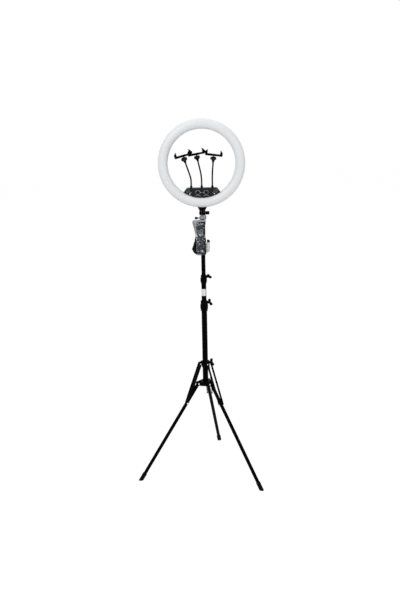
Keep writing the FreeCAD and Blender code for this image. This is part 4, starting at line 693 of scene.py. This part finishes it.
# Along a pad's rib, in millimetres: how far from the middle, and its radius there.
PAD_RIB = [(-9.2, 0.15), (-8.8, 0.5), (-4.5, 0.62), (0.0, 0.62), (4.5, 0.62), (8.8, 0.5), (9.2, 0.15)]


def add_pad_ribs():
    """Three rubber ribs across each pad of each clip."""
    for name in ("left", "middle", "right"):
        centre = joint_at(f"{name}_clip_tilt")
        bar = Vector(joints[f"{name}_jaw_open"]["axis"]).normalized()
        normal = Vector((-bar.z, 0, bar.x)).normalized()
        if normal.z < 0:
            normal = -normal
        for body, sign in ((f"{name}_clip", -1), (f"{name}_jaw", 1)):
            for k in range(3):
                at = centre + bar * sign * JAW_FACE + normal * (PAD_RIB_FROM + PAD_RIB_PITCH * k)
                path = [at + NORTH * y * MM for y, _ in PAD_RIB]
                radii = [radius * MM for _, radius in PAD_RIB]
                tube_piece(f"{body}_pad_rib_{k}", path, radii, "black_rubber", body, 10)


# ---------------------------------------------------------------- wing knobs of the three clamps
# Hub and screw as (radius, height), and the wing's reach, in millimetres.
HUB = [(CENTRE, 0.3), (6.9, 0.3), (7.4, 0.8), (7.4, 8.2), (6.9, 9.6), (5.6, 11.4), (4.6, 12.1), (3.9, 12.2),
       (3.6, 11.7), (CENTRE, 11.7)]
SCREW = [(CENTRE, -2.6), (2.9, -2.6), (2.9, 0.3), (CENTRE, 0.3)]
WING_FROM, WING_LENGTH = 3.0, 19.0
WING_OUT, WING_SWEEP = 8.6, 3.4
WING_HALF = 5.7
WING_ROUND = 0.78


def wing_points(boss, axis, wing_up, wing_side, rows, sides):
    """Rounded sections along one wing, which swells and sweeps outward to its rounded end."""
    points = []
    for i in range(rows + 1):
        s = i / rows
        reach = (WING_FROM + WING_LENGTH * s) * MM
        out = (WING_OUT + WING_SWEEP * s ** 1.6) * MM
        swell = math.sqrt(max(0.0, 1 - max(0.0, (s - WING_ROUND) / (1 - WING_ROUND)) ** 2))
        deep = (WING_HALF + 1.9 * math.sin(min(1.0, s / 0.6) * math.pi / 2)) * swell * MM + 0.02 * MM
        thick = (WING_HALF + 1.6 * s) * swell * MM + 0.02 * MM
        for j in range(sides):
            turn = 2 * math.pi * j / sides
            c, n = math.cos(turn), math.sin(turn)
            across = math.copysign(abs(c) ** 0.75, c) * deep
            side = math.copysign(abs(n) ** 0.75, n) * thick
            points.append(boss + axis * (out + across) + wing_up * reach + wing_side * side)
    return points


def wing_knob(body, node, boss, axis, twist):
    """A moulded bar screw: a round hub with a pressed cap and two fat, slightly swept arms."""
    wing_up = Matrix.Rotation(math.radians(twist), 3, axis) @ UP
    wing_side = axis.cross(wing_up).normalized()
    hub = turned_piece(f"{node}_hub", millimetres(HUB), boss, axis, "black_plastic", body, sides=48)
    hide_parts(node)
    turned_piece(f"{node}_screw", millimetres(SCREW), boss, axis, "steel", body, sides=28)
    rows, sides = 26, 28
    for label, sign in (("a", 1), ("b", -1)):
        points = wing_points(boss, axis, wing_up * sign, wing_side, rows, sides)
        faces = grid_faces(rows + 1, sides) + end_caps(rows + 1, sides)
        mesh_piece(f"{node}_wing_{label}", points, faces, "black_plastic", body)


def add_wing_knobs():
    """The three clamps' knobs, each turned its own way as in the photo."""
    for joint, body, node, twist in (("collar_knob_turn", "collar_knob", "collar_lock_knob", -50),
                                     ("mid_knob_turn", "mid_knob", "mid_clamp_knob", -60),
                                     ("top_knob_turn", "top_knob", "top_clamp_knob", -85)):
        axis = Vector(joints[joint]["axis"]).normalized()
        wing_knob(body, node, joint_at(joint) + axis * 0.3 * MM, axis, twist)


# ---------------------------------------------------------------- clear bag of packed accessories
BAG_BODY = "top_tube"
BAG_WAIST = 103
STRAP_RISE = 30
FILM_SIDES = 128
FILM_POWER = 3.6
# The film's creases, the same for its hem: size and depth in millimetres, and a seed.
FILM_CREASES = (9.0, 2.4, 3.0)


def crumple(point, size, depth, seed):
    """Sharp creases: a sum of folded noise at three sizes."""
    total = 0.0
    share = 1.0
    at = point * (1.0 / size) + Vector((seed, seed * 1.7, -seed))
    for _ in range(3):
        total += share * (0.5 - abs(noise.noise(at)))
        at = at * 2.1
        share *= 0.52
    return total * depth


def rounded_section(cx, cy, half_x, half_y, power, sides):
    """Points round a rounded rectangle, its corners softer with a lower power."""
    points = []
    for j in range(sides):
        turn = 2 * math.pi * j / sides
        c, s = math.cos(turn), math.sin(turn)
        points.append((cx + half_x * math.copysign(abs(c) ** (2 / power), c),
                       cy + half_y * math.copysign(abs(s) ** (2 / power), s)))
    return points


def loft_piece(name, stations, sides, power, material, size, depth, seed, rows, closed=True, thick=0.0):
    """A crumpled shell through stations of (height, x, y, half width, half depth), in millimetres.
    Its corners are softer with a lower power; its creases have a size, a depth and a seed."""
    heights = [row[0] for row in stations]
    columns = list(zip(*[row[1:] for row in stations]))
    points = []
    for i in range(rows + 1):
        z = heights[0] + (heights[-1] - heights[0]) * i / rows
        cx, cy, half_x, half_y = [float(np.interp(z, heights, column)) for column in columns]
        for x, y in rounded_section(cx, cy, half_x, half_y, power, sides):
            at = Vector((x, y, z)) * MM
            out = Vector((x - cx, y - cy, 0)).normalized()
            push = crumple(at, size * MM, depth * MM, seed)
            lift = crumple(at + Vector((0.3, 0, 0)), size * 1.6 * MM, depth * 0.8 * MM, seed + 5)
            points.append(at + out * (push - depth * 0.45 * MM) + UP * lift)
    faces = grid_faces(rows + 1, sides) + (end_caps(rows + 1, sides) if closed else [])
    piece = mesh_piece(name, points, faces, material)
    if thick:
        thicken(piece, thick)
    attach(piece, BAG_BODY)
    return piece


def patch_piece(name, rows, y, cols, material, size, depth, seed, thick):
    """A thin crumpled sheet between two edges, given as rows of (height, left x, right x), in millimetres."""
    steps = 40
    heights = [row[0] for row in rows]
    points = []
    for i in range(steps + 1):
        z = heights[0] + (heights[-1] - heights[0]) * i / steps
        left, right = [float(np.interp(z, heights, [row[k] for row in rows])) for k in (1, 2)]
        for j in range(cols + 1):
            x = left + (right - left) * j / cols
            at = Vector((x, y, z)) * MM
            push = crumple(at, size * MM, depth * MM, seed) - 0.3 * depth * MM
            ragged = crumple(at + Vector((0, 0.2, 0)), size * MM, 2.2 * MM, seed + 3)
            points.append(at + NORTH * push + (EAST + UP) * ragged)
    piece = mesh_piece(name, points, grid_faces(steps + 1, cols + 1, wrap_sides=False), material)
    thicken(piece, thick)
    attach(piece, BAG_BODY)
    return piece


def add_packs(bottom, waist, top):
    """Two wrapped packs of dark parts, one above the other."""
    low_pack = loft_piece("packed_block_low", [
        (bottom + 5, -9.5, -26, 19.5, 8.5), (bottom + 10, -9.5, -26, 23, 11),
        (bottom + 50, -9, -26.5, 24.5, 12), (bottom + 84, -9.5, -26, 23, 11),
        (bottom + 98, -10, -25, 19.5, 8), (waist - 1.5, -10, -25, 17, 7)],
        72, 4.2, "pack_grey", 9.0, 2.0, 11.0, 66)
    loft_piece("packed_block_top", [
        (waist + 1, -10, -25, 17.5, 7), (waist + 8, -10, -25.5, 20.5, 9.5),
        (waist + 45, -11.8, -26.5, 23, 11), (top - 9, -13.5, -26, 23, 10), (top - 5, -13.5, -26, 21, 8)],
        72, 4.2, "pack_grey", 9.0, 2.0, 12.0, 60)
    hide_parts("packed_accessories")


def add_film(bottom, waist, top):
    """The bag itself: a clear tube of film, drawn in at its waist."""
    film = loft_piece("clear_film", [
        (bottom, -9.5, -26, 21, 9), (bottom + 5, -9, -26, 24.5, 12), (bottom + 45, -8.8, -26.5, 26.2, 13.8),
        (waist - 14, -9.3, -26, 25, 12.5), (waist, -10, -25, 22, 10), (waist + 12, -10.5, -25.5, 23, 11),
        (waist + 45, -12, -26.5, 25.5, 13), (top - 7, -14, -26.5, 25, 12.5), (top, -14.5, -26.5, 26.5, 12.8)],
        FILM_SIDES, FILM_POWER, "bag_film", *FILM_CREASES, 150, closed=False, thick=0.14)
    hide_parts("accessory_bag")
    return film


def add_webbing(bottom, waist, top):
    """Rolled black webbing down the right side, inside the film."""
    steps = 40
    for name, z0, z1, x0, x1 in (("webbing_top", waist + 10, top - 6, 9.6, 8.0),
                                 ("webbing_low", bottom + 8, waist - 8, 11.5, 10.5)):
        path = []
        for i in range(steps + 1):
            share = i / steps
            x = x0 + (x1 - x0) * share + 0.8 * math.sin(share * 9)
            path.append(Vector((x, -37.5 + 0.8 * math.cos(share * 7), z0 + (z1 - z0) * share)) * MM)
        radii = [3.4 * MM * (0.55 + 0.45 * min(1.0, i / 3, (steps - i) / 3)) for i in range(steps + 1)]
        tube_piece(name, path, radii, "strap_black", BAG_BODY, 20)


def add_pouches(bottom):
    """A folded dark pouch at the lower left, and a small pale one with a dark end at the lower right."""
    pouch = loft_piece("dark_pouch", [
        (bottom + 4, -35, -26, 2.5, 2), (bottom + 11, -38.5, -26, 6.5, 5), (bottom + 26, -45, -26, 10.5, 6.5),
        (bottom + 34, -45.5, -26, 11.5, 6.5), (bottom + 52, -42.5, -26, 8.5, 6),
        (bottom + 78, -38.5, -25.5, 4.6, 4), (bottom + 97, -36.5, -25, 2.2, 2)],
        48, 2.8, "strap_black", 12.0, 5.0, 17.0, 60)
    lobe = loft_piece("film_lobe", [
        (bottom + 13, 21, -22, 4, 2), (bottom + 20, 25.5, -22, 8.5, 5), (bottom + 45, 26.8, -22, 9.6, 6.5),
        (bottom + 62, 27, -22, 9.2, 5.5), (bottom + 67, 26.5, -22, 8, 4)],
        64, 2.6, "film_pale", 7.0, 2.6, 8.0, 60)
    loft_piece("dark_clip_in_lobe", [
        (bottom + 67.5, 28.5, -22, 6, 3), (bottom + 70, 29, -22, 7.2, 4.8), (bottom + 77, 28, -22, 7.4, 4.8),
        (bottom + 82, 26, -22, 4.5, 3)], 40, 3.0, "strap_black", 7.0, 1.4, 9.0, 30)


def add_bag():
    """The clear bag on the column with all that is in it; heights are in millimetres."""
    low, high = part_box("accessory_bag")
    bottom, top = low.z / MM, high.z / MM
    waist = bottom + BAG_WAIST
    add_packs(bottom, waist, top)
    film = add_film(bottom, waist, top)
    straps = [strap_round(f"strap_{k}", height) for k, height in enumerate((bottom + STRAP_RISE, waist))]
    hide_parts("bag_straps")
    add_webbing(bottom, waist, top)
    # the bag's mouth: a sealed hem, a corner that stands out to the left, and film pulled up round the socket
    hem = loft_piece("film_hem", [
        (top - 5.5, -14.4, -26.6, 26.9, 13.3), (top - 0.3, -14.6, -26.6, 27.6, 13.6)],
        FILM_SIDES, FILM_POWER, "film_pale", *FILM_CREASES, 8, closed=False, thick=0.5)
    corner = patch_piece("film_corner", [
        (top - 92, -36.5, -34.5), (top - 60, -43, -35.5), (top - 34, -50, -38), (top - 12, -55, -41.5),
        (top - 1, -51, -42)], -27, 24, "film_grey", 8.0, 5.0, 31.0, 0.3)
    wrap = socket_film(top)
    add_pouches(bottom)


def socket_film(bag_top):
    """Clear film gathered up round the front of the pan socket, which it turns with."""
    low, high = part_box("pan_socket")
    radius = high.x + 2.2 * MM
    cols, rows = 70, 30
    points = []
    for i in range(rows + 1):
        share = i / rows
        for j in range(cols + 1):
            turn = math.radians(-138 + 150 * j / cols)
            out = Vector((math.cos(turn), math.sin(turn), 0))
            edge = math.sin(math.pi * j / cols) ** 0.5
            z = (bag_top + 1.5 + share * (14 + 8 * edge)) * MM
            at = out * radius + UP * z
            points.append(at + out * (crumple(at, 7 * MM, 2.6 * MM, 41.0) + 0.4 * MM)
                          + UP * crumple(at, 9 * MM, 1.2 * MM, 44.0))
    faces = grid_faces(rows + 1, cols + 1, wrap_sides=False)
    piece = mesh_piece("film_over_socket", points, faces, "film_grey")
    thicken(piece, 0.3, offset=1)
    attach(piece, "pan_socket")
    return piece


STRAP_WIDTH = 16.0
STRAP_THICK = 1.2
STRAP_R = 11.5


def strap_round(name, height):
    """A woven strap round the tube that hooks onto the bag's back."""
    cols, rows = 64, 8
    outer, inner = [], []
    for i in range(rows + 1):
        z = height - STRAP_WIDTH / 2 + STRAP_WIDTH * i / rows
        for j in range(cols):
            turn = 2 * math.pi * j / cols
            radius = STRAP_R + 0.12 * math.sin(turn * 9 + z)
            out = Vector((math.cos(turn), math.sin(turn), 0))
            outer.append((out * (radius + STRAP_THICK) + UP * z) * MM)
            inner.append((out * radius + UP * z) * MM)
    count = len(outer)
    faces = grid_faces(rows + 1, cols)
    faces += [tuple(count + k for k in reversed(face)) for face in faces]
    top = rows * cols
    for j in range(cols):
        m = (j + 1) % cols
        faces.append((j, m, count + m, count + j))
        faces.append((top + j, top + m, count + top + m, count + top + j))
    return mesh_piece(name, outer + inner, faces, "strap_black", BAG_BODY)


# ---------------------------------------------------------------- phone clips
def local_points(node, origin, along, upright):
    """The points of a CAD node, in metres along, across and above a frame."""
    across = upright.cross(along)
    found = []
    for vertex in frame["nodes"][node].data.vertices:
        away = frame["nodes"][node].matrix_world @ vertex.co - origin
        found.append((away.dot(along), away.dot(across), away.dot(upright)))
    return np.array(found)


def swept_rings(name, rings, place, material, body, hollow=False):
    """Rings of local (x, y, z) points joined in order; a hollow sweep joins its last ring to its first."""
    points = [place(p) for ring in rings for p in ring]
    sides = len(rings[0])
    faces = grid_faces(len(rings), sides, wrap_rings=hollow) + ([] if hollow else end_caps(len(rings), sides))
    return mesh_piece(name, points, faces, material, body)


def section_at(x, y0, y1, z0, z1, soft):
    """A rounded section across a clip's length, drawn in at its edges by soft."""
    half_y, half_z = (y1 - y0) / 2 - soft, (z1 - z0) / 2 - soft
    points = rounded_section((y0 + y1) / 2, (z0 + z1) / 2, half_y, half_z, 6.0, 40)
    return [(x, y, z) for y, z in points]


# How far each piece of a clip's grip keeps off its neighbours, and the sizes of the pad and the jaw's back.
TONGUE_GAP = 0.08 * MM
JAW_SIDE_GAP = 0.5 * MM
PAD_RISE = 2.4 * MM
PAD_GROOVE_PITCH = 3.2 * MM
PAD_GROOVE = 0.45 * MM
BACK_HEIGHT = 19 * MM
BACK_SWELL = 5.6 * MM


def rest_pad_rings(from_x, to_x, wide, seat):
    """The ribbed pad on the clip's plate, softened at both ends."""
    rings = []
    steps = 96
    for i in range(steps + 1):
        x = from_x + (to_x - from_x) * i / steps
        edge = min(i, steps - i)
        rib = PAD_GROOVE * max(0.0, math.sin(2 * math.pi * x / PAD_GROOVE_PITCH)) if edge > 2 else 0.0
        soft = {0: 0.9 * MM, 1: 0.25 * MM}.get(edge, 0.0)
        half = wide - 1 * MM
        rings.append(section_at(x, -half, half, seat + 0.02 * MM, seat + PAD_RISE + rib, soft))
    return rings


def carriage_rings(start, stop, wide, low, high, tongue):
    """The hollow carriage that rides with the jaw round its tongue, from the clip's end to the jaw."""
    half = tongue[:, 1].max() + TONGUE_GAP
    inner_low, inner_high = tongue[:, 2].min() - TONGUE_GAP, tongue[:, 2].max() + TONGUE_GAP
    rings = []
    for x, soft in ((start, 0.8 * MM), (start + 0.3 * MM, 0.2 * MM), (start + 0.8 * MM, 0.0), (stop, 0.0)):
        rings.append(section_at(x, -wide, wide, low + 0.2 * MM, high + 2.2 * MM, soft))
    for x in (stop, start):
        rings.append(section_at(x, -half, half, inner_low, inner_high, 0.0))
    return rings


def jaw_back_rings(back, wide, low):
    """The swollen back of a sliding jaw, thickest half-way up."""
    rings = []
    for i in range(25):
        share = i / 24
        bulge = math.sin(math.pi * share) ** 0.6
        z = low + 1.5 * MM + share * BACK_HEIGHT
        near = back - 2.2 * MM * (1 - bulge) - 1.4 * MM
        row = []
        for j in range(32):
            turn = 2 * math.pi * j / 32
            swell = max(0.0, math.cos(turn)) ** 0.8 * BACK_SWELL * bulge + 0.05 * MM * math.cos(turn)
            row.append((near + swell, (wide - 2.6 * MM) * math.sin(turn) * (0.35 + 0.65 * bulge), z))
        rings.append(row)
    return rings


def add_clip_grips():
    """A rest pad on each clip, a carriage on its jaw and, but for the right one, a swollen jaw back."""
    for name in ("left", "middle", "right"):
        origin = joint_at(f"{name}_clip_tilt")
        along = Vector(joints[f"{name}_jaw_open"]["axis"]).normalized()
        upright = along.cross(NORTH).normalized()
        across = upright.cross(along)

        def place(p):
            return origin + along * p[0] + across * p[1] + upright * p[2]

        base = local_points(f"{name}_clip", origin, along, upright)
        jaw = local_points(f"{name}_jaw", origin, along, upright)
        end = base[:, 0].max()
        tail = base[base[:, 0] > end - 1 * MM]
        low, high = tail[:, 2].min(), tail[:, 2].max()
        fixed = base[(base[:, 2] > high + 4 * MM) & (base[:, 2] < high + 12 * MM)]
        moving = jaw[(jaw[:, 2] > high + 4 * MM) & (jaw[:, 2] < high + 12 * MM)]
        tongue = jaw[jaw[:, 0] < end - 1 * MM]
        wide = jaw[:, 1].max() - JAW_SIDE_GAP
        pad = rest_pad_rings(fixed[:, 0].max() + 1.0 * MM, end - 0.8 * MM, wide, high)
        swept_rings(f"{name}_rest_pad", pad, place, "black_rubber", f"{name}_clip")
        carriage = carriage_rings(end + 0.35 * MM, moving[:, 0].min() - 0.05 * MM, wide, low, high, tongue)
        swept_rings(f"{name}_jaw_carriage", carriage, place, "black_plastic", f"{name}_jaw", hollow=True)
        if name != "right":
            back = jaw_back_rings(jaw[:, 0].max(), wide, low)
            swept_rings(f"{name}_jaw_back", back, place, "black_plastic", f"{name}_jaw")


def dress_nodes():
    """Each CAD node's finish, by the name of its slot; the ball nuts are slate, as in the photo."""
    for node, item in frame["nodes"].items():
        for place in item.material_slots:
            finish = place.material.name.split(".")[0] if place.material is not None else None
            if finish in MATERIALS:
                place.material = MATERIALS["nut_slate" if node.endswith("_ball_nut") else finish]


dress_nodes()
bpy.context.scene.view_settings.view_transform = "Standard"
set_camera()
set_world(0.42)
add_floor(0.22)
area_light("key", (-2.2, -3.2, 3.8), (0, 0, 1.2), (2.2, 2.2), 82)
area_light("fill", (2.8, -2.4, 1.8), (0, 0, 1.0), (1.2, 2.6), 26)
area_light("top", (0.3, 0.2, 4.6), (0, 0, 1.0), (2.4, 2.4), 22)

add_arms()
add_panel_marks()
add_label()
add_rivet_caps()
add_foot_ribs()
add_pad_ribs()
add_wing_knobs()
add_clip_grips()
add_bag()
